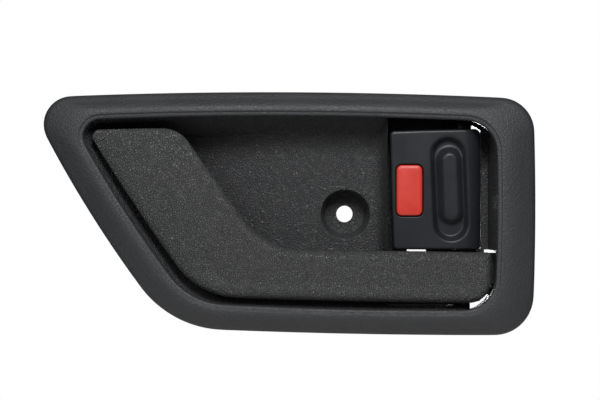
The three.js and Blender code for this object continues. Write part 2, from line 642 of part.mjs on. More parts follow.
// Torsion spring: one leg on the ledge of the housing, the coil round the pin, one leg on the handle's arm.
class SpringPath extends THREE.Curve {
  getPoint(t, target = new THREE.Vector3()) {
    const { meanR, bottom, top, turns, legs } = SPRING;
    const legShare = 0.1;
    if (t < legShare) {
      const out = 1 - t / legShare;
      return target.set(PIN.x + out * legs, PIN.y + meanR, bottom);
    }
    if (t > 1 - legShare) {
      const out = (t - 1 + legShare) / legShare;
      const hook = 4.5 * Math.max(out - 0.6, 0);
      return target.set(PIN.x - meanR, PIN.y + out * legs, top + hook);
    }
    const s = (t - legShare) / (1 - 2 * legShare);
    const angle = Math.PI / 2 + s * (turns + 0.25) * 2 * Math.PI;
    const z = THREE.MathUtils.lerp(bottom, top, s);
    return target.set(PIN.x + meanR * Math.cos(angle), PIN.y + meanR * Math.sin(angle), z);
  }
}

function handleReturnSpring() {
  const section = new THREE.Shape().absarc(0, 0, SPRING.wireR, 0, 2 * Math.PI, false);
  const extrudePath = new SpringPath();
  return solid(new THREE.ExtrudeGeometry(section, { extrudePath, steps: 90, curveSegments: 3 }));
}

// Leaf that clicks into the notches of the lever's knuckle: its bump sits behind the knuckle.
function lockDetentSpring() {
  const { z, leafFront, leafThickness, leafWidth, screwZ } = DETENT;
  const front = [
    [screwZ + 1.6, 0],
    [z + 2.5, 0],
    [z + 1.2, -0.55],
    [z, -1.05],
    [z - 1.2, -0.55],
    [z - 2.5, 0],
    [z - 6, 0.3],
  ];
  const rear = front.map(([height, depth]) => [height, depth + leafThickness]).reverse();
  const outline = [...front, ...rear].map(([height, depth]) => new THREE.Vector2(height, leafFront + depth));
  const shape = new THREE.Shape(outline);
  const strip = new THREE.ExtrudeGeometry(shape, { depth: leafWidth, bevelEnabled: false });
  strip.rotateY(-Math.PI / 2).translate(PIN.x + leafWidth / 2, 0, 0);
  return cut(solid(strip), rodY(PIN.x, screwZ, -20, 0, 1.2, 1.2, 12));
}

// Nylon clip that turns in an arm's hole and grips a rod of 3 mm.
function rodClip(tipX, armBottom, armThickness) {
  const size = { halfX: 3.6, halfY: 4, height: 5.6, rodR: 1.55, rodDrop: 3, mouth: 1.2, pegR: 1.3 };
  const bodyTop = armBottom - GAP;
  const barbBottom = armBottom + armThickness + GAP;
  const barbTop = barbBottom + 1.3;
  const rodZed = bodyTop - size.rodDrop;
  const [rear, front] = [ARM_TIP_Y + size.halfY, ARM_TIP_Y - size.halfY];
  const body = block(tipX - size.halfX, tipX + size.halfX, front, rear, bodyTop - size.height, bodyTop);
  const rodWay = rodY(tipX, rodZed, front - 1, rear + 1, size.rodR, size.rodR, 16);
  const mouth = block(tipX - size.mouth, tipX + size.mouth, front - 1, rear + 1, bodyTop - 7, rodZed);
  const peg = rodZ(tipX, ARM_TIP_Y, bodyTop - 1, barbTop, size.pegR, size.pegR, 16);
  const barb = rodZ(tipX, ARM_TIP_Y, barbBottom, barbTop, 2.1, 1.4, 16);
  return join(cut(body, rodWay, mouth), peg, barb);
}

function bumpStop({ x, y }) {
  const crown = STOP.seatY - GAP - 1.9;
  const dome = rodY(x, y, GRIP_REAR_Y + GAP, crown, 0.9, 1.3, 16);
  const base = rodY(x, y, crown, STOP.seatY - GAP, STOP.r, STOP.r, 16);
  const stem = rodY(x, y, STOP.seatY - 0.4, STOP.stemEnd, STOP.stemR, STOP.stemR, 12);
  return join(dome, base, stem);
}

// ---- Materials ----

const plastic = (colour, roughness) =>
  new THREE.MeshStandardMaterial({ color: colour, roughness, metalness: 0 });
const steel = (colour, roughness) =>
  new THREE.MeshStandardMaterial({ color: colour, roughness, metalness: 1 });
const fineBlack = () => plastic(0x2b2c2e, 0.55);
const grainedBlack = () => plastic(0x333436, 0.65);
const smoothBlack = () => plastic(0x1c1e22, 0.35);
const zincSteel = () => steel(0xb9bbb6, 0.35);
const springSteel = () => steel(0x6d6f73, 0.4);
const nylon = () => plastic(0xd8d6cc, 0.5);

// ---- Assembly ----

const assembly = new THREE.Group();

function place(name, piece, material) {
  const { numProp, vertProperties, triVerts } = piece.getMesh();
  const geometry = new THREE.BufferGeometry();
  geometry.setAttribute("position", new THREE.BufferAttribute(new Float32Array(vertProperties), numProp));
  geometry.setIndex(new THREE.BufferAttribute(new Uint32Array(triVerts), 1));
  geometry.computeVertexNormals();
  const mesh = new THREE.Mesh(geometry, material);
  mesh.name = name;
  assembly.add(mesh);
}

place("bezel_frame", bezelFrame(), fineBlack());
place("trim_seal", trimSeal(), plastic(0x26272a, 0.95));
place("housing_bowl", housingBowl(), grainedBlack());
place("handle_front_shell", handleFrontShell(), grainedBlack());
place("handle_back_cover", handleBackCover(), fineBlack());
place("lock_lever", lockLever(), smoothBlack());
place("lock_indicator", lockIndicator(), plastic(0xc6342b, 0.4));
place("pivot_pin", pivotPin(), zincSteel());
place("pin_push_nut", pinPushNut(), springSteel());
place("handle_return_spring", handleReturnSpring(), springSteel());
place("lever_spacer_washer", pinRing(-13.3, -11.7, 3.2), fineBlack());
place("lower_pivot_bush", pinRing(-31.4, -28.9, BUSH_R), fineBlack());
place("lock_detent_spring", lockDetentSpring(), springSteel());
const detentHeadY = DETENT.leafFront - GAP;
place("detent_spring_screw", screwY(PIN.x, DETENT.screwZ, detentHeadY, -4.6, 1.6, 0.8), zincSteel());
const handleArmThickness = HANDLE_HUB.top - HANDLE_ARM.bottom;
place("latch_rod_clip", rodClip(HANDLE_ARM.tipX, HANDLE_ARM.bottom, handleArmThickness), nylon());
place("lock_rod_clip", rodClip(LOCK_ARM.tipX, LOCK_ARM.bottom, ARM_THICKNESS), nylon());
stopPlaces.forEach((spot, i) => {
  place(`handle_bump_stop_${i + 1}`, bumpStop(spot), plastic(0x1a1a1a, 0.9));
});
coverScrewPlaces.forEach(({ x, y }, i) => {
  place(`handle_cover_screw_${i + 1}`, screwY(x, y, COVER_REAR_Y + GAP, -21, 2.2, 0.8), zincSteel());
});
bezelPosts.forEach(({ at }, i) => {
  place(`bezel_screw_${i + 1}`, screwY(at.x, at.y, EAR.rear + GAP, -20.5, 2.1, 1), zincSteel());
});

export default assembly;
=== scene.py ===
"""Looks of an interior door release handle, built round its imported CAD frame.

Shapes are worked out in millimetres in the part's own frame and turned into metres by make_piece().
+X runs towards the hinge pin, +Z is up and +Y goes into the door, so the face looks along -Y.
"""

import math

import bmesh
import bpy
import numpy as np
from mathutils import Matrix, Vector
from mathutils.geometry import delaunay_2d_cdt


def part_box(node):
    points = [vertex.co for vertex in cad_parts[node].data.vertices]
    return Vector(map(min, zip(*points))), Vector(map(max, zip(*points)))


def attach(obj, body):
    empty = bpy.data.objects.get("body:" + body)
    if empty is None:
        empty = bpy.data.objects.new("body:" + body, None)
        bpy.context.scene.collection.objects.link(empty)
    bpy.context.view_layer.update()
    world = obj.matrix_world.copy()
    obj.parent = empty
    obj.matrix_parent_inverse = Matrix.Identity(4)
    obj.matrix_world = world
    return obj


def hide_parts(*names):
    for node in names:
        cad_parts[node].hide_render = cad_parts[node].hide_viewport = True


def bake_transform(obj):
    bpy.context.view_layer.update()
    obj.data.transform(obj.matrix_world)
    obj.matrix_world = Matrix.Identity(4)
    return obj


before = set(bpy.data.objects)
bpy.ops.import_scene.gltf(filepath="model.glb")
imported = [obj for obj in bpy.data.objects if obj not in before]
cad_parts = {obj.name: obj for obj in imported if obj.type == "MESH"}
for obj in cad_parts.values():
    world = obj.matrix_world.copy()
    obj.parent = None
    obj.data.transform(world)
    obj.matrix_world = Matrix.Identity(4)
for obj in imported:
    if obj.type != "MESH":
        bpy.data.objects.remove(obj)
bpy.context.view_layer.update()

MM = 0.001

# ---- Driving dimensions, in millimetres ----

GAP = 0.3
RUN = 0.15

# Loops seen from the front: corners counter-clockwise from the top left, the bow of the side that starts at
# each corner, and each corner's radius (negative where the corner is an inner one).
OUTER = {
    "corners": [(-104.8, 38.3), (-57.0, -37.3), (61.1, -39.7), (61.5, 37.9)],
    "bows": [2.6, 0.8, 0.9, 2.1],
    "radii": [9.4, 34.2, 12.8, 11.4],
}
OPENING = {
    "corners": [(-89.2, 30.6), (-50.6, -28.6), (48.0, -31.0), (48.5, 30.2)],
    "bows": [1.6, 0.9, 0.85, 1.7],
    "radii": [5.7, 23.1, 10.2, 10.3],
}
GRIP = {
    "corners": [(-84.6, 27.6), (-48.0, -26.9), (47.4, -29.0), (47.4, -12.5), (-26.5, -11.6), (-54.9, 28.2)],
    "bows": [0.9, 0.4, 0.12, 0.15, 0.15, 0.15],
    "radii": [2.3, 26, 7.5, 1, -24.5, 9.8],
}
CORNER_STEPS = 12
SIDE_STEPS = 20

BEZEL_CROWN = -26.1
BEZEL_RIM = -19
BEZEL_ROLL = {"top": -26, "height": 6, "inner_y": -24.6, "outer_y": -20.2, "back": 1.3}
LIP_REAR = -22.5
LIP_WIDTH = 1.8

WALL = 2
HOUSING_RIM = -22
CAVITY_INSET = -1.2
BOWL_DRAFT = 0.62
BOWL_DEEP_DRAFT = 0.1
BOWL_SWEEP = (6.5, 1.4)
BOWL_DEEP = -6
BOWL_SHALLOW = -11.5
BOWL_LIP = -20.5
BAY_LEFT = 13.6
BAY_REAR = -8
BAR_SHELF = -14.5
GUARD = {"bottom": -11.8, "top": 27.6, "front_x": 49.2, "rear_x": 47.4, "return_x": 45.2, "rear": -9}
CROSS_RIB = {"bottom": -13.3, "top": -11.7, "deep_bottom": -16, "deep_end": 30.5, "end": 46.4}
CROSS_RIB_NOTCH = (20.7, 27.1)
CORNER_FLANGE = {"inset": 0.3, "front": -10.5, "left": 40.2, "bottom": 22}
BAY_FLOOR = {"front": -21.6, "toe": -32, "ramp_end": -18.3, "top": -29.95, "bottom": -33, "right": 39.5}
BUSH_SEAT_Z = -31.7
FLOOR_LIP = {"foot": -11, "front": -10.4, "rear": -6, "top": -29.25, "soft": 0.3}
LEDGE_FRONT_Y = -11.8
LEDGE_REAR_Y = -9.2
TOP_LEDGE = {
    "corners": [(13.1, 33), (13.1, 27.6), (35, 28.1), (35, 33)],
    "bows": [0.05] * 4,
    "radii": [0.4] * 4,
}

SCREW_HOLE_R = 2.8
SCREW_BOSS_R = 10
CUP_MOUTH_R = 8.15
CUP_SEAT_R = 6.7
CUP_SEAT = -4

PIN_X = 38.5
PIN_Y = -14.9
PIN_R = 1.75
PIN_TOP = 34.2
PIN_BOTTOM = -36.6
HUB_R = 6.1
BUSH_R = 2.7
HANDLE_HUB = (-28.6, -13.6)
SPRING_BAY = {"bottom": -25.2, "top": -17.6, "r": 6.6}
SPRING = {"mean_r": 4.4, "wire_r": 0.6, "bottom": -24.2, "top": -18.7, "turns": 4, "legs": 10.4}
DETENT = {"z": 14, "turns": (0, 16), "screw_z": 29.6, "front": -7.4, "thickness": 0.5, "width": 6}

GRIP_REAR = -18.4
GRIP_WALL = 2.2
GRIP_POST_FRONT = -22.6
GRIP_ROLL = {"start": -21.6, "run": 3.0, "drop": 2.9, "steps": 10}
WING_FALL = {"from_z": -6, "reach": 33, "back": 1.7}
SLANT_FALL = {"width": 18, "back": 1.1}
GRIP_LIP = {"start": 6, "run": 2.6, "height": 0.5}
COVER_REAR = -17.5
COVER_FRONT = -19.4
COVER_SCREWS = [(-60, 6), (-8, -20)]
STOP = {"inset": 1.1, "seat": -15, "r": 1.7, "stem_r": 1, "stem_end": -11.8}

LEVER = {"left": 14.5, "right": 38.5, "bottom": -11.4, "top": 28.1, "face": -21, "rear": -16.5}
LEVER_LEAN = 1.1
LEVER_FALL = 0.8
LEVER_COLLAR_TOP = 31
LEVER_CROWN = 1.8
LEVER_TILT = math.radians(2.3)
RECESS = {"x": 34.0, "z": 8.4, "half_width": 5.7, "half_height": 17, "floor": -18.3}
RECESS_WALL = {"start": 0.5, "run": 2.2}
RIB = {"x": 34.4, "z": 9.3, "half_width": 3.4, "half_height": 11.8, "top": -20.9}
RIB_PLATEAU = 1.7
RIB_FLANK = 3.6
INDICATOR = {
    "corners": [(16.55, 16.25), (16.55, -0.45), (25.05, -0.45), (25.05, 16.25)],
    "bows": [0.05] * 4,
    "radii": [1.8] * 4,
}
INDICATOR_FACE = -20.9
INDICATOR_REAR = -18.4

ARM_TIP_Y = 8
ARM_THICKNESS = 3.3
HANDLE_ARM = {"tip_x": 41.5, "bottom": -17.1}
LOCK_ARM = {"tip_x": 35.5, "bottom": 1.5}
ARM_END_R = 3.9
ROD_HOLE_R = 1.6
CLIP = {"half_width": 3.6, "half_length": 4, "height": 5.6, "rod_depth": 3, "rod_r": 1.55, "slot": 1.2,
        "peg_r": 1.3, "barb_r": 2.1}

BEZEL_POST_R = 1.9
BEZEL_POST_OFFSETS = [5.6, 4.8, 5.6, 5.6]
BEZEL_POST_FRONT = -23.2
EAR = {"front": -16.7, "rear": -14.7, "r": 2.5}

# Places clear of the housing in front of it, behind it and to its sides, for cutting tools.
AHEAD = -30
BEHIND = 5
SIDE = 120

# ---- Loops of bowed sides and round corners, as arrays of (x, z) ----


def heading(degrees):
    angle = math.radians(degrees)
    return np.array([math.cos(angle), math.sin(angle)])


def side_circle(a, b, bow):
    chord = b - a
    r = (chord @ chord / 4 + bow * bow) / (2 * bow)
    outward = np.array([chord[1], -chord[0]]) / np.linalg.norm(chord)
    return (a + b) / 2 + outward * (bow - r), r


def corner_centre(corner, side_in, side_out, radius):
    """Centre of the arc that touches both neighbouring side arcs."""
    d1 = abs(side_in[1] - radius)
    d2 = abs(side_out[1] - radius)
    across = side_out[0] - side_in[0]
    length = np.linalg.norm(across)
    along = (d1 * d1 - d2 * d2 + length * length) / (2 * length)
    off = math.sqrt(max(d1 * d1 - along * along, 0))
    foot = side_in[0] + across * along / length
    normal = np.array([-across[1], across[0]]) / length
    return min((foot + normal * off, foot - normal * off), key=lambda p: np.linalg.norm(p - corner))


def arc(centre, first, last, steps):
    r = np.linalg.norm(first - centre)
    start = math.atan2(*(first - centre)[::-1])
    end = math.atan2(*(last - centre)[::-1])
    turn = (end - start + math.pi) % (2 * math.pi) - math.pi
    angles = start + turn * np.linspace(0, 1, steps + 1)
    return centre + r * np.stack([np.cos(angles), np.sin(angles)], axis=1)


def loop(outline, inset=0.0):
    """The outline moved inwards by inset: each corner's arc, then its side, always as many points."""
    points = [np.array(p, float) for p in outline["corners"]]
    count = len(points)
    sides = []
    for i, p in enumerate(points):
        centre, r = side_circle(p, points[(i + 1) % count], outline["bows"][i])
        sides.append((centre, r - inset))
    arcs = []
    for i, p in enumerate(points):
        given = outline["radii"][i]
        radius = given - inset if given < 0 else max(given - inset, 0.4)
        side_in = sides[i - 1]
        side_out = sides[i]
        centre = corner_centre(p, side_in, side_out, radius)
        touch = [s[0] + (centre - s[0]) / np.linalg.norm(centre - s[0]) * s[1] for s in (side_in, side_out)]
        arcs.append((centre, touch[0], touch[1]))
    parts = []
    for i, (centre, first, last) in enumerate(arcs):
        following = arcs[(i + 1) % count]
        parts.append(arc(centre, first, last, CORNER_STEPS))
        parts.append(arc(sides[i][0], last, following[1], SIDE_STEPS)[1:-1])
    return np.vstack(parts)


def line_distance(x, z, line):
    """Distance from each point, given in columns x and z, to an open line."""
    a = line[:-1]
    edge = line[1:] - a
    share = (x - a[:, 0]) * edge[:, 0] + (z - a[:, 1]) * edge[:, 1]
    share = np.clip(share / (edge**2).sum(axis=1), 0, 1)
    return np.hypot(x - a[:, 0] - share * edge[:, 0], z - a[:, 1] - share * edge[:, 1]).min(axis=1)


def inside_distance(x, z, polygon):
    """Distance from each point to the polygon's edge, positive inside it."""
    a = polygon
    b = np.roll(polygon, -1, axis=0)
    px = x.ravel()[:, None]
    pz = z.ravel()[:, None]
    gap = line_distance(px, pz, np.vstack([a, a[:1]]))
    straddles = (a[:, 1] > pz) != (b[:, 1] > pz)
    rise = np.where(a[:, 1] == b[:, 1], 1, b[:, 1] - a[:, 1])
    crossing_x = a[:, 0] + (pz - a[:, 1]) * (b - a)[:, 0] / rise
    inside = (straddles & (px < crossing_x)).sum(axis=1) % 2 == 1
    return np.where(inside, gap, -gap).reshape(x.shape)


def smooth_min(a, b, reach):
    share = np.clip(0.5 + 0.5 * (b - a) / reach, 0, 1)
    return b * (1 - share) + a * share - reach * share * (1 - share)


def corner_middle(points, k):
    return points[k * (CORNER_STEPS + SIDE_STEPS) + CORNER_STEPS // 2]


def bezel_posts():
    """Place of each bezel post and the direction from the opening outwards through it."""
    posts = []
    for k, offset in enumerate(BEZEL_POST_OFFSETS):
        inner = corner_middle(loop(OPENING), k)
        away = corner_middle(loop(OUTER), k) - inner
        away /= np.linalg.norm(away)
        posts.append((inner + away * offset, away))
    return posts


def stop_places():
    """Middle of the wing's slanted side and of its top edge."""
    rim = loop(GRIP, STOP["inset"])
    places = []
    for side in (0, len(GRIP["corners"]) - 1):
        first = side * (CORNER_STEPS + SIDE_STEPS) + CORNER_STEPS
        places.append((rim[first] + rim[(first + SIDE_STEPS) % len(rim)]) / 2)
    return places


# ---- Solids ----


def make_piece(points, faces):
    """A closed mesh object from points in millimetres, with its faces pointing out."""
    mesh = bpy.data.meshes.new("solid")
    mesh.from_pydata((np.asarray(points, float) * MM).tolist(), [], faces)
    sheet = bmesh.new()
    sheet.from_mesh(mesh)
    bmesh.ops.recalc_face_normals(sheet, faces=sheet.faces)
    sheet.to_mesh(mesh)
    sheet.free()
    piece = bpy.data.objects.new("solid", mesh)
    bpy.context.scene.collection.objects.link(piece)
    return piece


def at_depth(points, y):
    return np.stack([points[:, 0], np.full(len(points), float(y)), points[:, 1]], axis=1)


def band(n, a, b):
    """Quads between two rings of n points that start at a and b."""
    return [(a + i, a + (i + 1) % n, b + (i + 1) % n, b + i) for i in range(n)]


def loft(rings, closed=False):
    """Skins equal rings. The ends are capped, or joined to each other when the section closes on itself."""
    n = len(rings[0])
    count = len(rings)
    faces = []
    for k in range(count if closed else count - 1):
        faces += band(n, k * n, (k + 1) % count * n)
    if not closed:
        faces.append(tuple(range(n)))
        faces.append(tuple(range((count - 1) * n, count * n)))
    return make_piece(np.vstack(rings), faces)


def stack(outline, section):
    """The outline as a ring at each (inset, y)."""
    return [at_depth(loop(outline, inset), y) for inset, y in section]


def slab(outline, inset, rear, front):
    return loft(stack(outline, [(inset, rear), (inset, front)]))


def block(x0, x1, y0, y1, z0, z1, soft=0.0):
    """A box; soft rounds its edges."""
    ring = np.array([(x0, y0), (x1, y0), (x1, y1), (x0, y1)], float)
    rings = [np.column_stack([ring, np.full(4, float(z))]) for z in (z0, z1)]
    piece = loft(rings)
    if soft:
        rounding = piece.modifiers.new("rounding", "BEVEL")
        rounding.width = soft * MM
        rounding.segments = 3
        settle(piece)
    return piece


def turned(profile, x, other, axis, hollow=False, sides=64):
    """A turned piece along Y or Z. The profile is (radius, place along the axis); hollow joins its ends."""
    angles = np.linspace(0, 2 * math.pi, sides, endpoint=False)
    rings = []
    for r, along in profile:
        u = x + r * np.cos(angles)
        v = other + r * np.sin(angles)
        w = np.full(sides, float(along))
        rings.append(np.stack([u, w, v] if axis == "Y" else [u, v, w], axis=1))
    return loft(rings, closed=hollow)


def rod(x, other, start, end, r, axis="Y", soft=0.0, sides=64):
    """A cylinder with its end edges broken by soft."""
    if not soft:
        return turned([(r, start), (r, end)], x, other, axis, sides=sides)
    step = soft * math.copysign(1, end - start)
    profile = [(r - soft, start), (r - 0.3 * soft, start + 0.3 * step), (r, start + step)]
    profile += [(r, end - step), (r - 0.3 * soft, end - 0.3 * step), (r - soft, end)]
    return turned(profile, x, other, axis, sides=sides)


def on_pin(z0, z1, r, soft=0.0):
    """A cylinder round the pin."""
    return rod(PIN_X, PIN_Y, z0, z1, r, axis="Z", soft=soft)


def prism(points, z0, z1):
    """A closed outline in XY raised along Z."""
    ring = np.array(points, float)
    return loft([np.column_stack([ring, np.full(len(ring), float(z))]) for z in (z0, z1)])


def relief(xs, zs, depth, back):
    """A block over the grid xs by zs, between the surface y = depth[x, z] and the plane y = back."""
    nx = len(xs)
    nz = len(zs)
    gx, gz = np.meshgrid(xs, zs, indexing="ij")
    points = np.stack([gx.ravel(), depth.ravel(), gz.ravel()], axis=1)
    index = np.arange(nx * nz).reshape(nx, nz)
    quads = np.stack([index[:-1, :-1], index[1:, :-1], index[1:, 1:], index[:-1, 1:]], axis=-1)
    faces = [tuple(q) for q in quads.reshape(-1, 4).tolist()]
    rim = np.concatenate([index[:, 0], index[-1, 1:], index[-2::-1, -1], index[0, -2:0:-1]])
    rear_points = points[rim].copy()
    rear_points[:, 1] = back
    start = nx * nz
    n = len(rim)
    faces += [(int(rim[i]), int(rim[(i + 1) % n]), start + (i + 1) % n, start + i) for i in range(n)]
    faces.append(tuple(range(start, start + n)))
    return make_piece(np.vstack([points, rear_points]), faces)


def settle(piece):
    """Applies the piece's modifiers to its mesh."""
    depsgraph = bpy.context.evaluated_depsgraph_get()
    mesh = bpy.data.meshes.new_from_object(piece.evaluated_get(depsgraph))
    piece.modifiers.clear()
    old = piece.data
    piece.data = mesh
    bpy.data.meshes.remove(old)
    mesh.name = piece.name


def combine(piece, tools, operation):
    for tool in tools:
        modifier = piece.modifiers.new("combine", "BOOLEAN")
        modifier.solver = "MANIFOLD"
        modifier.operation = operation
        modifier.object = tool
    settle(piece)
    for tool in tools:
        bpy.data.objects.remove(tool)
    return piece


def join(piece, *tools):
    return combine(piece, tools, "UNION")


def cut(piece, *tools):
    return combine(piece, tools, "DIFFERENCE")


def trim(piece, *tools):
    return combine(piece, tools, "INTERSECT")


# ---- Materials ----


class Shader:
    """Short calls for the nodes of one material; lengths are given in millimetres."""

    def __init__(self, name):
        self.material = bpy.data.materials.new(name)
        self.material.use_nodes = True
        self.tree = self.material.node_tree
        self.surface = self.tree.nodes["Principled BSDF"]
        self.place = self.add("ShaderNodeTexCoord", {}).outputs["Object"]

    def add(self, kind, inputs, **settings):
        """A node with its settings, each input either linked to another node's socket or given a value."""
        node = self.tree.nodes.new(kind)
        for key, value in settings.items():
            setattr(node, key, value)
        for key, value in inputs.items():
            if isinstance(value, bpy.types.NodeSocket):
                self.tree.links.new(value, node.inputs[key])
            else:
                node.inputs[key].default_value = value
        return node

    def give(self, name, value):
        """Sets one of the surface's own values."""
        self.surface.inputs[name].default_value = value

    def drive(self, name, source):
        """Links one of the surface's values to a socket."""
        self.tree.links.new(source, self.surface.inputs[name])

    def noise(self, size, detail=3.0, distortion=0.0, stretch=None):
        place = self.place
        if stretch:
            place = self.add("ShaderNodeMapping", {"Scale": stretch, "Vector": place}).outputs["Vector"]
        inputs = {"Scale": 1 / (size * MM), "Detail": detail, "Distortion": distortion, "Vector": place}
        return self.add("ShaderNodeTexNoise", inputs).outputs["Fac"]

    def cells(self, size, waver):
        """Leather-like cells: 0 in the creases between them and 1 on their tops; a tint driven by them paints
        shade into the creases and light onto the tops.
        """
        shift = self.add("ShaderNodeTexNoise", {"Scale": 0.7 / (size * MM), "Vector": self.place})
        inputs = {0: shift.outputs["Color"], 1: [waver * size * MM] * 3, 2: self.place}
        moved = self.add("ShaderNodeVectorMath", inputs, operation="MULTIPLY_ADD").outputs["Vector"]
        inputs = {"Scale": 1 / (size * MM), "Vector": moved}
        voronoi = self.add("ShaderNodeTexVoronoi", inputs, feature="DISTANCE_TO_EDGE")
        return self.span(voronoi.outputs["Distance"], 0.0, 0.32, 0.0, 1.0)

    def span(self, source, low, high, out_low, out_high):
        inputs = {"Value": source, "From Min": low, "From Max": high, "To Min": out_low, "To Max": out_high}
        return self.add("ShaderNodeMapRange", inputs, interpolation_type="SMOOTHSTEP").outputs["Result"]

    def math(self, operation, a, b):
        return self.add("ShaderNodeMath", {0: a, 1: b}, operation=operation).outputs["Value"]

    def tint(self, amount, dark, light):
        inputs = {"Factor": amount, 6: (*dark, 1), 7: (*light, 1)}
        self.drive("Base Color", self.add("ShaderNodeMix", inputs, data_type="RGBA").outputs[2])

    def edges(self, low, high):
        """1 on worn outer edges, 0 elsewhere."""
        return self.span(self.add("ShaderNodeNewGeometry", {}).outputs["Pointiness"], low, high, 0.0, 1.0)

    def bump(self, layers, soft_edge=0.0):
        """Bump from (height 0 to 1, depth in millimetres) layers over softened edges."""
        below = {}
        if soft_edge:
            bevel = self.add("ShaderNodeBevel", {"Radius": soft_edge * MM}, samples=6)
            below = {"Normal": bevel.outputs["Normal"]}
        for height, depth in layers:
            inputs = {"Strength": 1.0, "Distance": depth * MM, "Height": height, **below}
            below = {"Normal": self.add("ShaderNodeBump", inputs).outputs["Normal"]}
        self.drive("Normal", below["Normal"])


def grained_plastic(name, colour, grain, depth, rough):
    """Moulded plastic with a leather-like grain, its creases tinted darker as painted shade and its cell tops
    lighter as painted highlight, mixed with random patches of real tone.
    """
    shader = Shader(name)
    cells = shader.cells(grain, 0.55)
    patches = shader.noise(9, 2)
    fine = shader.noise(0.25, 2)
    relief_height = shader.math("MULTIPLY", cells, shader.span(patches, 0.3, 0.7, 0.85, 1.0))
    # Painted shade and highlight: three quarters of the tone is the cells, darker in the creases and lighter
    # on the tops; the rest is random patches.
    tone = shader.math("ADD", shader.math("MULTIPLY", cells, 0.75), shader.math("MULTIPLY", patches, 0.25))
    shader.tint(tone, [c * 0.6 for c in colour], [c * 1.35 for c in colour])
    worn = shader.edges(0.51, 0.56)
    base = shader.span(shader.noise(5, 3), 0.3, 0.7, rough - 0.05, rough + 0.05)
    polished = shader.math("SUBTRACT", base, shader.math("MULTIPLY", worn, 0.08))
    shader.drive("Roughness", shader.math("SUBTRACT", polished, shader.math("MULTIPLY", cells, 0.06)))
    shader.bump([(relief_height, depth), (fine, depth * 0.25)], 0.25)
    return shader.material


def satin_plastic(name, colour, grain, depth, rough, specular=0.5, soft_edge=0.25):
    """Moulded plastic with a fine spark-eroded texture, or nearly smooth."""
    shader = Shader(name)
    fine = shader.noise(grain, 4, 0.3)
    patches = shader.noise(14, 3)
    scuffs = shader.noise(1.2, 4, 0.5, stretch=(1.0, 1.0, 0.18))
    tone = shader.math("ADD", shader.math("MULTIPLY", fine, 0.4), shader.math("MULTIPLY", patches, 0.6))
    shader.tint(tone, [c * 0.85 for c in colour], [c * 1.15 for c in colour])
    worn = shader.edges(0.51, 0.56)
    base = shader.span(patches, 0.3, 0.7, rough - 0.04, rough + 0.04)
    scuffed = shader.math("ADD", base, shader.span(scuffs, 0.58, 0.75, 0.0, 0.06))
    shader.drive("Roughness", shader.math("SUBTRACT", scuffed, shader.math("MULTIPLY", worn, 0.06)))
    shader.give("Specular IOR Level", specular)
    shader.bump([(fine, depth)], soft_edge)
    return shader.material


def clouded(name, clouds, dark, light, rough, grain, depth, soft_edge=0.15):
    """A shader clouded in tone and between two roughnesses, with a fine grain; clouds is given to noise()."""
    shader = Shader(name)
    patches = shader.noise(*clouds)
    fine = shader.noise(grain, 3)
    shader.tint(patches, dark, light)
    shader.drive("Roughness", shader.span(patches, 0.3, 0.7, *rough))
    shader.bump([(fine, depth)], soft_edge)
    return shader


def plated_steel(name):
    shader = clouded(name, (2.2, 4, 0.6), (0.50, 0.50, 0.46), (0.68, 0.68, 0.66), (0.27, 0.42), 0.15, 0.008,
                     soft_edge=0.1)
    shader.give("Metallic", 1.0)
    return shader.material


def wire_steel(name):
    """Drawn and oiled spring steel, with lines along the wire's run."""
    shader = Shader(name)
    drawn = shader.noise(0.5, 4, 0.2, stretch=(0.25, 0.25, 3.0))
    oil = shader.noise(3, 3)
    shader.tint(drawn, (0.20, 0.21, 0.22), (0.34, 0.35, 0.37))
    shader.drive("Roughness", shader.span(oil, 0.35, 0.65, 0.28, 0.46))
    shader.give("Metallic", 1.0)
    shader.bump([(drawn, 0.006)])
    return shader.material


def nylon(name):
    shader = clouded(name, (4, 3), (0.56, 0.53, 0.44), (0.74, 0.72, 0.64), (0.38, 0.5), 0.3, 0.01)
    shader.give("Subsurface Weight", 0.25)
    shader.give("Subsurface Radius", (0.0012, 0.0011, 0.0009))
    return shader.material


def foam(name):
    shader = Shader(name)
    pores = shader.cells(0.45, 0.4)
    clouds = shader.noise(6, 3)
    # Painted shade: the pores mask tints the creases between the foam's cells darker and their tops lighter.
    shader.tint(pores, (0.010, 0.010, 0.011), (0.035, 0.036, 0.038))
    shader.drive("Roughness", shader.span(clouds, 0.3, 0.7, 0.88, 0.97))
    shader.bump([(pores, 0.12)])
    return shader.material


def rubber(name):
    """Moulded rubber with a film of dust."""
    return clouded(name, (1.5, 5, 0.4), [0.008] * 3, [0.020] * 3, (0.66, 0.85), 0.2, 0.015).material


def red_plastic(name):
    shader = clouded(name, (5, 3), (0.50, 0.030, 0.018), (0.60, 0.040, 0.026), (0.36, 0.46), 0.3, 0.006)
    return shader.material


# Each slot's maker and what it is given after the slot's name.
FINISHES = {
    "bezel_black": (satin_plastic, (0.030, 0.031, 0.034), 0.6, 0.3, 0.52),
    "bowl_black": (grained_plastic, (0.035, 0.036, 0.038), 0.75, 0.26, 0.53),
    "handle_black": (grained_plastic, (0.053, 0.054, 0.056), 0.75, 0.34, 0.47),
    "cover_black": (satin_plastic, (0.030, 0.031, 0.033), 0.5, 0.03, 0.5),
    "lever_black": (satin_plastic, (0.014, 0.015, 0.018), 0.5, 0.008, 0.40, 0.32, 0.6),
    "indicator_red": (red_plastic,),
    "zinc_steel": (plated_steel,),
    "spring_steel": (wire_steel,),
    "nylon_natural": (nylon,),
    "acetal_black": (satin_plastic, (0.020, 0.020, 0.021), 0.4, 0.01, 0.45),
    "rubber_black": (rubber,),
    "foam_grey": (foam,),
}
MATERIALS = {slot: make(slot, *values) for slot, (make, *values) in FINISHES.items()}


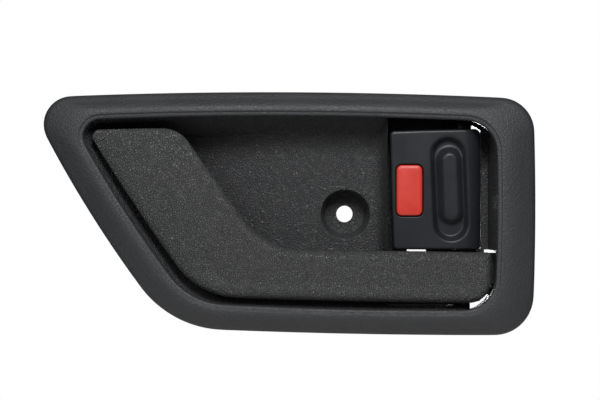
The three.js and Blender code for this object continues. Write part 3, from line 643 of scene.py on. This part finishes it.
def finish_piece(piece, name, body, slot, *nodes, sharp_degrees=32):
    """Names the piece, gives it its finish, and lets it stand for its CAD nodes."""
    piece.name = name
    piece.data.name = name
    piece.data.shade_smooth()
    piece.data.set_sharp_from_angle(angle=math.radians(sharp_degrees))
    piece.data.materials.clear()
    piece.data.materials.append(MATERIALS[slot])
    if body:
        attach(piece, body)
    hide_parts(*nodes)


# ---- Bezel and foam ----


def bezel():
    """The frame, whose lower border rolls back, with its posts."""
    def outer(inset, y):
        return at_depth(loop(OUTER, inset), y)

    def mouth(inset, y):
        return at_depth(loop(OPENING, inset), y)

    def across(share, y):
        return at_depth(loop(OUTER, 2) * (1 - share) + loop(OPENING, -2.8) * share, y)

    crown = BEZEL_CROWN
    rings = [
        outer(1.0, BEZEL_RIM), outer(0.35, BEZEL_RIM), outer(0.06, BEZEL_RIM - 0.4), outer(0.06, -20.2),
        outer(0.16, -21.0), outer(0.6, -21.9), outer(1.5, -22.7), across(0.12, -23.35), across(0.3, -24.05),
        across(0.5, -24.8), across(0.7, -25.4), across(0.88, -25.85), mouth(-2.7, crown + 0.08),
        mouth(-2.0, crown), mouth(-1.62, crown + 0.02), mouth(-1.5, crown + 0.12),
        mouth(-1.42, crown + 0.36), mouth(-1.25, crown + 0.44), mouth(-0.7, crown + 0.42),
        mouth(-0.3, crown + 0.55), mouth(-0.04, crown + 0.95), mouth(0, crown + 1.6),
        mouth(0, LIP_REAR - 0.6), mouth(0, LIP_REAR - 0.05), mouth(-0.05, LIP_REAR),
        mouth(-LIP_WIDTH + 0.05, LIP_REAR), mouth(-LIP_WIDTH, LIP_REAR - 0.05),
        mouth(-LIP_WIDTH - 0.4, -23.7), across(0.5, -22.8), outer(2.6, -20.8),
        outer(2.35, BEZEL_RIM - 0.1), outer(2.3, BEZEL_RIM),
    ]
    roll = BEZEL_ROLL
    for ring in rings[3:12]:
        low = np.clip((roll["top"] - ring[:, 2]) / roll["height"], 0, 1)
        out = np.clip((ring[:, 1] - roll["inner_y"]) / (roll["outer_y"] - roll["inner_y"]), 0, 1)
        ring[:, 1] += roll["back"] * low * out
    shell = loft(rings, closed=True)
    shell.modifiers.new("smoother", "SUBSURF").levels = 1
    settle(shell)
    post_end = EAR["front"] - GAP
    posts = [rod(*at, BEZEL_POST_FRONT, post_end, BEZEL_POST_R, soft=0.2) for at, _ in bezel_posts()]
    pilots = [rod(*at, BEZEL_POST_FRONT + 1.6, 0, 1.3) for at, _ in bezel_posts()]
    join(shell, *posts)
    cut(shell, *pilots)
    finish_piece(shell, "bezel_moulding", "root", "bezel_black", "bezel_frame")


def foam_strip():
    front = BEZEL_RIM + GAP
    rear = front + 1.3
    section = [(0.75, rear), (0.55, rear - 0.25), (0.5, rear - 0.65), (0.55, front + 0.2), (0.7, front),
               (1.6, front), (1.75, front + 0.2), (1.8, rear - 0.65), (1.75, rear - 0.25), (1.55, rear)]
    strip = loft(stack(OUTER, section), closed=True)
    finish_piece(strip, "foam_strip", "root", "foam_grey", "trim_seal", sharp_degrees=60)


# ---- Housing ----


def bowl_floor(x, dx, dy):
    """Depth of the bowl's floor at each x."""
    def bezier(p0, p1, p2, p3):
        t = np.linspace(0, 1, 60)[:, None]
        points = [np.array(p, float) for p in (p0, p1, p2, p3)]
        weights = ((1 - t) ** 3, 3 * (1 - t) ** 2 * t, 3 * (1 - t) * t**2, t**3)
        return sum(w * p for w, p in zip(weights, points))

    slope = bezier((-58, BOWL_DEEP), (-42, BOWL_DEEP), (-30, BOWL_SHALLOW), (-9, BOWL_SHALLOW))
    lip_x = BAY_LEFT + 0.1 + dx
    rise = bezier((8 + dx, BOWL_SHALLOW), (12 + dx, BOWL_SHALLOW), (lip_x - 1, -15.5), (lip_x, BOWL_LIP))
    profile = np.vstack([[(-120, BOWL_DEEP)], slope, rise, [(60, BOWL_LIP)]])
    return np.interp(x, profile[:, 0], profile[:, 1]) + dy


def bowl_surface(xs, zs, grow, dx, dy, fillet):
    """Depth of the bowl's inner or outer surface: drafted walls, steeper below the shallow floor, and on the
    inside a floor that sweeps up towards them."""
    gx, gz = np.meshgrid(xs, zs, indexing="ij")
    inset = inside_distance(gx, gz, loop(OPENING, CAVITY_INSET - grow))
    foot = (BOWL_SHALLOW - HOUSING_RIM) * BOWL_DRAFT
    wall = HOUSING_RIM + np.minimum(inset, foot) / BOWL_DRAFT
    wall += np.maximum(inset - foot, 0) / BOWL_DEEP_DRAFT
    floor = bowl_floor(gx, dx, dy)
    if not grow:
        width, height = BOWL_SWEEP
        floor = floor - height * np.clip(1 - (inset - foot) / width, 0, 1) ** 2
    return np.maximum(smooth_min(wall, floor, fillet), -29)


def ears():
    lugs = []
    for at, away in bezel_posts():
        lug = rod(*at, EAR["front"], EAR["rear"], EAR["r"], soft=0.2)
        side = np.array([-away[1], away[0]]) * EAR["r"]
        ring = np.array([at + side, at - side, at - side - away * 10, at + side - away * 10])
        web = loft([at_depth(ring, y) for y in (EAR["front"], EAR["rear"])])
        lugs.append(join(lug, web))
    return lugs


def boss_ribs():
    """Ribs round the screw boss that stay inside the bowl's outer skin."""
    ribs = []
    reach = 17
    for degrees in (20, 110, 200, 290):
        along = heading(degrees)
        side = np.array([-along[1], along[0]]) * 0.9
        ring = np.array([side + along * reach, side, -side, -side + along * reach])
        ribs.append(loft([at_depth(ring, y) for y in (-9.3, -3.3)]))
    return ribs


def knuckle_guard():
    """Wall beside the lever's knuckle, with draft and a short return at its rear."""
    rear = GUARD["rear"]
    outline = [(GUARD["front_x"], HOUSING_RIM), (52, HOUSING_RIM), (52, rear), (GUARD["rear_x"], rear)]
    wall = prism(outline, GUARD["bottom"], GUARD["top"])
    join(wall, block(GUARD["return_x"], 50, rear - 1.6, rear, GUARD["bottom"], GUARD["top"]))
    return trim(wall, slab(OPENING, CAVITY_INSET - WALL, BAY_REAR, HOUSING_RIM))


def bay_rear():
    """Stop ledge behind the lever's free edge, notched rib between the levers, wall behind the end of the
    handle's bar and flange in the upper corner."""
    front = GUARD["rear"] - 0.3
    low = CROSS_RIB["bottom"]
    high = CROSS_RIB["top"]
    rib = block(BAY_LEFT - 0.5, CROSS_RIB["deep_end"], front, BAY_REAR, CROSS_RIB["deep_bottom"], high)
    join(rib, block(CROSS_RIB["deep_end"] - 1, CROSS_RIB["end"], front, BAY_REAR, low, high),
         block(GUARD["return_x"], CROSS_RIB["end"], GUARD["rear"] - 1.6, BAY_REAR, low, GUARD["bottom"] + 2))
    cut(rib, block(*CROSS_RIB_NOTCH, -12, -5, low - 0.3, high + 1))
    ledge = block(BAY_LEFT - 0.5, BAY_LEFT + 3.5, GUARD["rear"] - 0.2, BAY_REAR, -14, 30)
    bar_end = block(GUARD["return_x"] + 0.2, 51, -12, GUARD["rear"], -23.2, -12.9)
    corner = slab(OPENING, CAVITY_INSET - 0.5, BAY_REAR, CORNER_FLANGE["front"])
    trim(corner, block(CORNER_FLANGE["left"], 55, -11, -7, CORNER_FLANGE["bottom"], 34))
    cut(corner, slab(OPENING, CORNER_FLANGE["inset"], 0, -20))
    return [rib, ledge, bar_end, corner]


def bay_floor():
    """Floor of the bay under the handle's bar: a ramp, a flat and a raised lip at the rear."""
    front, toe, ramp_end, top, bottom, right = BAY_FLOOR.values()
    lip = FLOOR_LIP
    section = [(front, bottom), (front, toe), (ramp_end, top), (lip["foot"], top), (lip["front"], lip["top"]),
               (lip["rear"] - lip["soft"], lip["top"]), (lip["rear"], lip["top"] - lip["soft"]),
               (lip["rear"], bottom)]
    return loft([[(x, y, z) for y, z in section] for x in (BAY_LEFT - 0.5, right)])


def housing():
    xs = np.arange(-98, 16.01, 0.6)
    zs = np.arange(-36, 36.01, 0.6)
    body = relief(xs, zs, bowl_surface(xs, zs, WALL, 1.5, WALL, 2.5), AHEAD)
    trim(body, block(-SIDE, SIDE, HOUSING_RIM, BEHIND, -SIDE, SIDE))
    bay_walls = slab(OPENING, CAVITY_INSET - WALL, BAY_REAR, HOUSING_RIM)
    trim(bay_walls, block(BAY_LEFT - WALL, SIDE, AHEAD, 0, -SIDE, SIDE))
    bar_shelf = block(3, BAY_LEFT - 0.1, BAR_SHELF, BAR_SHELF + 5, -31, -11.7)
    boss = rod(0, 0, -9.6, 0, SCREW_BOSS_R, soft=0.4)
    join(body, bay_walls, bar_shelf, boss, *ears(), *boss_ribs())

    xs = np.append(np.arange(-96, BAY_LEFT, 0.5), BAY_LEFT + 0.01)
    zs = np.arange(-35, 35.01, 0.5)
    cavity = relief(xs, zs, bowl_surface(xs, zs, 0, 0, 0, 0.6), AHEAD)
    bay = slab(OPENING, CAVITY_INSET, BEHIND, AHEAD)
    trim(bay, block(BAY_LEFT, SIDE, AHEAD - 1, BEHIND + 1, -SIDE, SIDE))
    bar_notch = block(3.5, BAY_LEFT + 1, AHEAD, BAR_SHELF, -36, -11.7)
    shelf_inset = CAVITY_INSET + (BAR_SHELF - HOUSING_RIM) * BOWL_DRAFT
    mouth = [(shelf_inset, BAR_SHELF + 0.01), (CAVITY_INSET, HOUSING_RIM), (CAVITY_INSET, AHEAD - 1)]
    trim(bar_notch, loft(stack(OPENING, mouth)))
    cut(body, cavity, bay, bar_notch)

    seat_pad = rod(*COVER_SCREWS[0], BOWL_DEEP + 0.5, 0, 5, soft=0.3)
    stop_posts = [rod(*p, STOP["seat"], STOP["seat"] + 5.5, 3, soft=0.15) for p in stop_places()]
    top_ledge = slab(TOP_LEDGE, 0, LEDGE_REAR_Y, LEDGE_FRONT_Y)
    join(top_ledge, block(PIN_X - 6, PIN_X + 2, LEDGE_FRONT_Y, LEDGE_REAR_Y, LEVER["top"] + GAP, 33))
    tab_front = DETENT["front"] + DETENT["thickness"] + GAP + 0.1
    tab = block(PIN_X - 4, PIN_X + 4, tab_front, tab_front + 2.3, 25.5, 33.4)
    tab_root = block(PIN_X - 4, PIN_X + 4, -12, tab_front + 2.3, 31.5, 33.6)
    spring_ledge = block(47.6, 51, -9.5, BAY_REAR, -27, -22)
    join(body, seat_pad, *stop_posts, top_ledge, bay_floor(), tab, tab_root, spring_ledge, knuckle_guard(),
         *bay_rear())

    edge = 0.35
    profile = [(CUP_MOUTH_R + 1.6, BOWL_SHALLOW - 1.2), (CUP_MOUTH_R + edge, BOWL_SHALLOW),
               (CUP_MOUTH_R + 0.08, BOWL_SHALLOW + 0.12), (CUP_MOUTH_R, BOWL_SHALLOW + edge),
               (CUP_SEAT_R + 0.1, CUP_SEAT - 0.5), (CUP_SEAT_R - 0.1, CUP_SEAT - 0.12),
               (CUP_SEAT_R - 0.5, CUP_SEAT)]
    tools = [turned(profile, 0, 0, "Y", sides=96), rod(0, 0, -20, BEHIND, SCREW_HOLE_R, sides=96)]
    tools += [on_pin(-50, 50, PIN_R + RUN), on_pin(BUSH_SEAT_Z, BAY_FLOOR["top"] + 1, BUSH_R + GAP),
              rod(PIN_X, DETENT["screw_z"], -12, 0, 0.9)]
    for p in stop_places():
        tools.append(rod(*p, -20, STOP["seat"], STOP["r"] + GAP))
        tools.append(rod(*p, -16, STOP["stem_end"] + 0.4, STOP["stem_r"] + GAP))
    for at, _ in bezel_posts():
        tools.append(rod(*at, EAR["front"] - 1, EAR["rear"] + 1, 1.4))
        tools.append(rod(*at, -24, EAR["front"], BEZEL_POST_R + GAP))
    cut(body, *tools)
    finish_piece(body, "housing_moulding", "root", "bowl_black", "housing_bowl")


# ---- Pull handle ----


def domed_cap(ring, crown, spacing):
    """Triangles over a ring whose middle stands a little proud, as (extra points, triangles)."""
    flat = ring[:, [0, 2]]
    y = ring[0, 1]
    low = flat.min(axis=0)
    high = flat.max(axis=0)
    steps = [np.arange(low[k], high[k], spacing) for k in (0, 1)]
    gx, gz = np.meshgrid(*steps, indexing="ij")
    depth = inside_distance(gx, gz, flat)
    keep = depth > spacing * 0.45
    inner = np.stack([gx[keep], gz[keep]], axis=1)
    rise = crown * (1 - np.exp(-((depth[keep] / 6) ** 1.5)))
    extra = np.stack([inner[:, 0], y - rise, inner[:, 1]], axis=1)
    n = len(flat)
    edges = [(i, (i + 1) % n) for i in range(n)]
    points = [Vector(p) for p in np.vstack([flat, inner]).tolist()]
    triangles = delaunay_2d_cdt(points, edges, [], 1, 1e-6)[2]
    return extra, triangles


def grip_crown(x, z):
    """How far the grip's face lies behind its front plane: falling back towards the top of the wing and its
    slanted side, and standing proud in a lip along the lower edge."""
    rim = loop(GRIP)
    step = CORNER_STEPS + SIDE_STEPS
    columns = (x[:, None], z[:, None])
    slant = line_distance(*columns, rim[CORNER_STEPS : step + 1])
    lower = line_distance(*columns, rim[step + CORNER_STEPS // 2 : 3 * step - SIDE_STEPS])
    height = np.clip(z - WING_FALL["from_z"], 0, None)
    back = WING_FALL["back"] * (height / WING_FALL["reach"]) ** 2
    back += SLANT_FALL["back"] * np.clip(1 - slant / SLANT_FALL["width"], 0, 1) ** 2
    share = np.clip((GRIP_LIP["start"] - lower) / GRIP_LIP["run"], 0, 1)
    return back - GRIP_LIP["height"] * share**2 * (3 - 2 * share)


def grip_shell():
    """The pull's shell: hollow behind, with a rolled edge round its crowned face."""
    start, run, drop, steps = GRIP_ROLL.values()
    rings = [(GRIP_WALL + 0.3, start - 0.7), (GRIP_WALL, GRIP_REAR), (0.5, GRIP_REAR),
             (0.15, GRIP_REAR - 0.15), (0, GRIP_REAR - 0.5)]
    behind_roll = len(rings)
    rings.append((0, start))
    for angle in np.linspace(0, math.pi / 2, steps + 1)[1:]:
        rings.append((run * (1 - math.cos(angle)), start - drop * math.sin(angle)))
    loops = stack(GRIP, rings)
    n = len(loops[0])
    faces = [tuple(range(n))]
    for k in range(len(loops) - 1):
        faces += band(n, k * n, (k + 1) * n)
    extra, triangles = domed_cap(loops[-1], 0.3, 1.0)
    first = (len(loops) - 1) * n
    faces += [tuple(first + i for i in triangle) for triangle in triangles]
    points = np.vstack([*loops, extra])
    share = np.clip((start - points[:, 1]) / drop, 0, 1)
    share[: behind_roll * n] = 0
    points[:, 1] += share * grip_crown(points[:, 0], points[:, 2])
    return make_piece(points, faces)


def bellcrank(arm, thickness):
    """Arm from a knuckle into the door, with a hole for the rod clip."""
    tip_x = arm["tip_x"]
    bottom = arm["bottom"]
    top = bottom + thickness
    outline = [(PIN_X - 5.2, PIN_Y), (PIN_X + 5.2, PIN_Y)]
    for angle in np.linspace(0, math.pi, 25):
        outline.append((tip_x + ARM_END_R * math.cos(angle), ARM_TIP_Y + ARM_END_R * math.sin(angle)))
    return cut(prism(outline, bottom, top), rod(tip_x, ARM_TIP_Y, bottom - 1, top + 1, ROD_HOLE_R, axis="Z"))


def pull_handle():
    bottom, top = HANDLE_HUB
    shell = grip_shell()
    core = block(33.8, PIN_X + HUB_R - 0.4, GRIP_POST_FRONT, PIN_Y, bottom + 1.5, top - 0.2)
    hub = on_pin(bottom, top, HUB_R, soft=0.2)
    posts = [rod(*p, GRIP_POST_FRONT, COVER_FRONT - GAP, 2.6) for p in COVER_SCREWS]
    join(shell, core, hub, bellcrank(HANDLE_ARM, top - HANDLE_ARM["bottom"]), *posts)
    bay_bottom, bay_top, bay_r = SPRING_BAY.values()
    spring_way = block(PIN_X - bay_r, 60, PIN_Y, 5, bay_bottom, bay_top)
    pilots = [rod(*p, -22, 0, 1.1) for p in COVER_SCREWS]
    cut(shell, on_pin(bay_bottom, bay_top, bay_r), spring_way, on_pin(-40, 0, PIN_R + RUN), *pilots)
    finish_piece(shell, "pull_handle", "handle", "handle_black", "handle_front_shell")


def pull_cover():
    inset = GRIP_WALL + GAP
    section = [(inset + 0.9, COVER_REAR), (inset + 0.5, COVER_REAR - 0.1), (inset + 0.15, COVER_REAR - 0.3),
               (inset, COVER_REAR - 0.65), (inset, COVER_FRONT)]
    plate = loft(stack(GRIP, section))
    hub_relief = block(PIN_X - HUB_R + 0.1, 60, -40, 0, -40, 0)
    cut(plate, hub_relief, *[rod(*p, -30, 0, 1.4) for p in COVER_SCREWS])
    finish_piece(plate, "pull_cover", "handle", "cover_black", "handle_back_cover")


# ---- Lock lever ----


def stadium_distance(gx, gz, shape):
    """Distance from the upright middle line of a leaning stadium."""
    dx = gx - shape["x"]
    dz = gz - shape["z"]
    u = dx * math.cos(LEVER_TILT) + dz * math.sin(LEVER_TILT)
    v = dz * math.cos(LEVER_TILT) - dx * math.sin(LEVER_TILT)
    reach = shape["half_height"] - shape["half_width"]
    return np.hypot(u, v - np.clip(v, -reach, reach))


def lever():
    left, right, bottom, top, face, rear = LEVER.values()
    split = rear - 0.2
    limb = right + math.sqrt(HUB_R**2 - (PIN_Y - rear) ** 2)
    outline = {
        "corners": [(left, top - LEVER_FALL), (left + LEVER_LEAN, bottom), (limb, bottom), (limb, top)],
        "bows": [0.1] * 4,
        "radii": [1.2, 1.2, 0.5, 2.2],
    }
    xs = np.linspace(left - 1, limb + 0.3, 130)
    zs = np.linspace(bottom - 1, top + 1, 160)
    gx, gz = np.meshgrid(xs, zs, indexing="ij")
    edge = 0.8
    near = np.clip(edge - inside_distance(gx, gz, loop(outline)), 0, edge)
    rounding = edge - np.sqrt(edge**2 - near**2)
    across = np.clip(gx - right, 0, HUB_R)
    knuckle_y = PIN_Y - np.sqrt(HUB_R**2 - across**2)
    plate_y = knuckle_y + np.where(gx > right + 3, 0, rounding)
    depth = RECESS["floor"] - face
    dish = RECESS["half_width"] - stadium_distance(gx, gz, RECESS)
    share = np.clip((dish + RECESS_WALL["start"]) / RECESS_WALL["run"], 0, 1)
    dished_y = plate_y + depth * share**2 * (3 - 2 * share)
    foot = np.clip((stadium_distance(gx, gz, RIB) - RIB_PLATEAU) / RIB_FLANK, 0, 1)
    rib_y = RIB["top"] + depth * foot**2 * (3 - 2 * foot)
    surface = np.where(dish > 0, smooth_min(dished_y, rib_y, 0.3), dished_y)
    surface = np.clip(surface, face, split)
    plate = relief(xs, zs, surface, rear)
    trim(plate, slab(outline, 0, rear + 0.1, face - 1))

    profile = [(HUB_R - 0.5, bottom), (HUB_R - 0.15, bottom + 0.15), (HUB_R, bottom + 0.5)]
    for turn in np.radians(np.linspace(0, 90, 9)):
        back = LEVER_CROWN * (1 - math.cos(turn))
        profile.append((HUB_R - back, top - LEVER_CROWN + LEVER_CROWN * math.sin(turn)))
    knuckle = turned(profile, PIN_X, PIN_Y, "Z", sides=128)
    cut(knuckle, block(PIN_X - 8, PIN_X + 8, -30, split, bottom - 1, top + 1))
    collar = on_pin(top - 1, LEVER_COLLAR_TOP, 2.5, soft=0.2)
    join(plate, knuckle, collar, bellcrank(LOCK_ARM, ARM_THICKNESS))
    pocket = slab(INDICATOR, -GAP, INDICATOR_REAR + GAP, face - 1)
    notches = []
    for degrees in DETENT["turns"]:
        place = heading(90 + degrees) * (HUB_R + 0.3) + (PIN_X, PIN_Y)
        notches.append(rod(*place, DETENT["z"] - 2.5, DETENT["z"] + 2.5, 0.9, axis="Z", sides=24))
    cut(plate, pocket, *notches, on_pin(bottom - 1, top + 5, PIN_R + RUN))
    finish_piece(plate, "lever_moulding", "lock", "lever_black", "lock_lever")


def indicator():
    section = [(0, INDICATOR_REAR), (0, INDICATOR_FACE + 0.9), (0.06, INDICATOR_FACE + 0.55),
               (0.3, INDICATOR_FACE + 0.25), (0.7, INDICATOR_FACE + 0.08), (1.3, INDICATOR_FACE)]
    insert = loft(stack(INDICATOR, section))
    finish_piece(insert, "red_insert", "lock", "indicator_red", "lock_indicator", sharp_degrees=50)


# ---- Pin, spring and small pieces ----


def pin_ring(low, high, soft):
    """A ring on the pin that fills the box from low to high."""
    inner_r = PIN_R + RUN
    outer_r = (high.x - low.x) / 2 / MM
    z0 = low.z / MM
    z1 = high.z / MM
    profile = [(inner_r, z0 + soft), (inner_r + soft, z0), (outer_r - soft, z0), (outer_r, z0 + soft),
               (outer_r, z1 - soft), (outer_r - soft, z1), (inner_r + soft, z1), (inner_r, z1 - soft)]
    return turned(profile, PIN_X, PIN_Y, "Z", hollow=True)


def pin_parts():
    head = [(PIN_R - 0.5, PIN_BOTTOM), (PIN_R - 0.12, PIN_BOTTOM + 0.3), (PIN_R, PIN_BOTTOM + 0.7),
            (PIN_R, PIN_TOP), (2.8, PIN_TOP), (3, PIN_TOP + 0.2), (2.85, PIN_TOP + 0.6),
            (2.3, PIN_TOP + 0.95), (1.2, PIN_TOP + 1.1)]
    pin = turned(head, PIN_X, PIN_Y, "Z")
    finish_piece(pin, "hinge_pin", "root", "zinc_steel", "pivot_pin")

    inner = PIN_R + GAP
    dish = [(inner, -35.55), (3.1, -35.7), (4.3, -34.85), (4.4, -34.7), (4.2, -34.7), (3.0, -35.4),
            (inner, -35.2)]
    nut = turned(dish, PIN_X, PIN_Y, "Z", hollow=True)
    slots = []
    for degrees in (0, 60, 120):
        ahead = heading(degrees)
        along = ahead * 3.2
        side = np.array([-ahead[1], ahead[0]]) * 0.25
        corners = [along + side, side - along, -along - side, along - side]
        slots.append(prism([corner + (PIN_X, PIN_Y) for corner in corners], -36.5, -34))
    cut(nut, *slots)
    finish_piece(nut, "push_nut", "root", "spring_steel", "pin_push_nut")

    finish_piece(pin_ring(*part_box("lever_spacer_washer"), 0.15), "spacer_washer", "root", "acetal_black",
                 "lever_spacer_washer")
    finish_piece(pin_ring(*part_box("lower_pivot_bush"), 0.2), "pivot_bush", "root", "acetal_black",
                 "lower_pivot_bush")


def tube(path, r):
    """A closed tube along a path of points."""
    path = np.array(path, float)
    ahead = np.gradient(path, axis=0)
    ahead /= np.linalg.norm(ahead, axis=1)[:, None]
    side = np.cross(ahead[0], (0, 0, 1))
    rings = []
    angles = np.linspace(0, 2 * math.pi, 12, endpoint=False)
    for point, direction in zip(path, ahead):
        side = side - direction * (side @ direction)
        side /= np.linalg.norm(side)
        other = np.cross(direction, side)
        rings.append(point + r * (np.cos(angles)[:, None] * side + np.sin(angles)[:, None] * other))
    return loft(rings)


def return_spring():
    mean_r, wire_r, bottom, top, turns, legs = SPRING.values()
    path = [(PIN_X + out, PIN_Y + mean_r, bottom) for out in np.linspace(legs, 1, 16)]
    angles = math.pi / 2 + np.linspace(0, (turns + 0.25) * 2 * math.pi, 300)
    for angle, z in zip(angles, np.linspace(bottom, top, 300)):
        path.append((PIN_X + mean_r * math.cos(angle), PIN_Y + mean_r * math.sin(angle), z))
    for out in np.linspace(0.06, 1, 24):
        path.append((PIN_X - mean_r, PIN_Y + out * legs, top + 4.5 * max(out - 0.6, 0)))
    spring = tube(path, wire_r)
    finish_piece(spring, "torsion_spring", None, "spring_steel", "handle_return_spring", sharp_degrees=60)
    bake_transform(spring)


def detent_leaf():
    z, _, screw_z, front, thickness, width = DETENT.values()
    heights = np.concatenate([[screw_z + 1.6], np.linspace(z + 2.6, z - 2.6, 25), [z - 6]])
    bend = -1.05 * np.exp(-(((heights - z) / 1.25) ** 2))
    bend[-1] = 0.3
    outline = [(front + b, h) for h, b in zip(heights, bend)]
    outline += [(front + b + thickness, h) for h, b in zip(heights[::-1], bend[::-1])]
    leaf = loft([[(x, y, h) for y, h in outline] for x in (PIN_X - width / 2, PIN_X + width / 2)])
    cut(leaf, rod(PIN_X, screw_z, -20, 0, 1.2))
    finish_piece(leaf, "detent_leaf", "root", "spring_steel", "lock_detent_spring")


def screw(node, name, body, x, z, seat, tip, head_r, shank_r):
    """Pan-head screw along Y with a cross recess."""
    away = math.copysign(1, seat - tip)
    height = head_r * 0.65
    profile = [(shank_r * 0.4, tip), (shank_r, tip + away * shank_r * 1.2), (shank_r, seat)]
    profile += [(head_r, seat), (head_r, seat + away * height * 0.3)]
    for angle in np.radians((20, 40, 60, 75)):
        rise = 0.3 + 0.65 * math.sin(angle)
        profile.append((head_r * (0.55 + 0.45 * math.cos(angle)), seat + away * height * rise))
    top = seat + away * height
    profile.append((head_r * 0.25, top))
    piece = turned(profile, x, z, "Y", sides=48)
    low, high = sorted((top - away * head_r * 0.35, top + away))
    reach = head_r * 0.55
    thin = head_r * 0.12
    cut(piece, block(x - reach, x + reach, low, high, z - thin, z + thin),
        block(x - thin, x + thin, low, high, z - reach, z + reach))
    finish_piece(piece, name, body, "zinc_steel", node)


def screws():
    screw("detent_spring_screw", "leaf_screw", "root", PIN_X, DETENT["screw_z"], DETENT["front"] - GAP,
          tip=-4.6, head_r=1.6, shank_r=0.8)
    for i, at in enumerate(COVER_SCREWS, 1):
        screw(f"handle_cover_screw_{i}", f"cover_screw_{i}", "handle", *at, COVER_REAR + GAP,
              tip=-21, head_r=2.2, shank_r=0.8)
    for i, (at, _) in enumerate(bezel_posts(), 1):
        screw(f"bezel_screw_{i}", f"frame_screw_{i}", "root", *at, EAR["rear"] + GAP,
              tip=-20.5, head_r=2.1, shank_r=1)


def rod_clip(node, name, body, tip_x, arm_bottom, arm_thickness):
    """Nylon clip that turns in an arm's hole and grips a rod of 3 mm."""
    top = arm_bottom - GAP
    barb = arm_bottom + arm_thickness + GAP
    half_width, half_length, height, rod_depth, rod_r, slot, peg_r, barb_r = CLIP.values()
    rod_z = top - rod_depth
    near = ARM_TIP_Y - half_length
    far = ARM_TIP_Y + half_length
    clip = block(tip_x - half_width, tip_x + half_width, near, far, top - height, top, soft=0.5)
    cut(clip, rod(tip_x, rod_z, near - 1, far + 1, rod_r),
        block(tip_x - slot, tip_x + slot, near - 1, far + 1, top - height - 1, rod_z))
    profile = [(peg_r, top - 1), (peg_r, barb), (barb_r, barb), (barb_r, barb + 0.2), (peg_r, barb + 1.3)]
    join(clip, turned(profile, tip_x, ARM_TIP_Y, "Z"))
    finish_piece(clip, name, body, "nylon_natural", node)


def bump_stops():
    seat = STOP["seat"] - GAP
    tip = GRIP_REAR + GAP
    r = STOP["r"]
    stem_r = STOP["stem_r"]
    end = STOP["stem_end"]
    profile = [(0.3, tip), (0.75, tip + 0.1), (1.05, tip + 0.45), (1.3, seat - 1.9), (r - 0.2, seat - 1.9),
               (r, seat - 1.7), (r, seat), (stem_r, seat), (stem_r, end - 0.3), (stem_r - 0.3, end)]
    for i, at in enumerate(stop_places(), 1):
        stop = turned(profile, *at, "Y", sides=40)
        finish_piece(stop, f"rubber_stop_{i}", "root", "rubber_black", f"handle_bump_stop_{i}")


# ---- Floor, light and camera ----

VIEW_DISTANCE = 0.520
VIEW_WIDTH = 0.1946
VIEW_CENTRE = (-0.01508, 0.00475)
LIT_PLACE = (-0.015, -0.02, 0)
FLOOR_PLACE = (-0.015, 0, -0.105)
FLOOR_R = 0.26
SENSOR = 36


def stage():
    bpy.ops.mesh.primitive_circle_add(vertices=96, radius=FLOOR_R, fill_type="NGON", location=FLOOR_PLACE)
    floor = bpy.context.object
    floor.name = "floor"
    shader = Shader("floor_pale")
    shader.tint(shader.noise(30, 3), (0.80, 0.80, 0.79), (0.84, 0.84, 0.83))
    shader.give("Roughness", 0.8)
    floor.data.materials.append(shader.material)


def area_light(name, place, target, size, power):
    data = bpy.data.lights.new(name, "AREA")
    data.shape = "DISK"
    data.size = size
    data.energy = power
    light = bpy.data.objects.new(name, data)
    light.location = place
    light.rotation_euler = (Vector(target) - Vector(place)).to_track_quat("-Z", "Y").to_euler()
    bpy.context.scene.collection.objects.link(light)


def lights():
    """A white background that lights the part faintly, and three lamps."""
    world = bpy.data.worlds.new("studio")
    bpy.context.scene.world = world
    world.use_nodes = True
    nodes = world.node_tree.nodes
    links = world.node_tree.links
    seen = nodes.new("ShaderNodeBackground")
    lighting = nodes["Background"]
    for background, strength in ((seen, 1.0), (lighting, 0.05)):
        background.inputs["Color"].default_value = (1, 1, 1, 1)
        background.inputs["Strength"].default_value = strength
    path = nodes.new("ShaderNodeLightPath")
    mix = nodes.new("ShaderNodeMixShader")
    links.new(path.outputs["Is Camera Ray"], mix.inputs["Fac"])
    links.new(lighting.outputs["Background"], mix.inputs[1])
    links.new(seen.outputs["Background"], mix.inputs[2])
    links.new(mix.outputs["Shader"], nodes["World Output"].inputs["Surface"])
    area_light("key", (0.04, -0.38, 0.28), LIT_PLACE, 0.18, 2.0)
    area_light("fill", (-0.35, -0.60, 0.30), LIT_PLACE, 0.4, 1.2)
    area_light("rear", (0.05, 0.65, -0.045), (-0.015, -0.01, 0), 0.1, 2)
    bpy.context.scene.view_settings.view_transform = "Standard"


def camera():
    data = bpy.data.cameras.new("camera")
    data.sensor_width = SENSOR
    data.lens = SENSOR * VIEW_DISTANCE / VIEW_WIDTH
    eye = bpy.data.objects.new("camera", data)
    eye.location = (VIEW_CENTRE[0], BEZEL_CROWN * MM - VIEW_DISTANCE, VIEW_CENTRE[1])
    eye.rotation_euler = (math.radians(90), 0, 0)
    bpy.context.scene.collection.objects.link(eye)
    bpy.context.scene.camera = eye


camera()
bezel()
foam_strip()
housing()
pull_handle()
pull_cover()
lever()
indicator()
pin_parts()
return_spring()
detent_leaf()
screws()
rod_clip("latch_rod_clip", "latch_clip", "latch_clip", HANDLE_ARM["tip_x"], HANDLE_ARM["bottom"],
         HANDLE_HUB[1] - HANDLE_ARM["bottom"])
rod_clip("lock_rod_clip", "lock_clip", "lock_clip", LOCK_ARM["tip_x"], LOCK_ARM["bottom"], ARM_THICKNESS)
bump_stops()
stage()
lights()
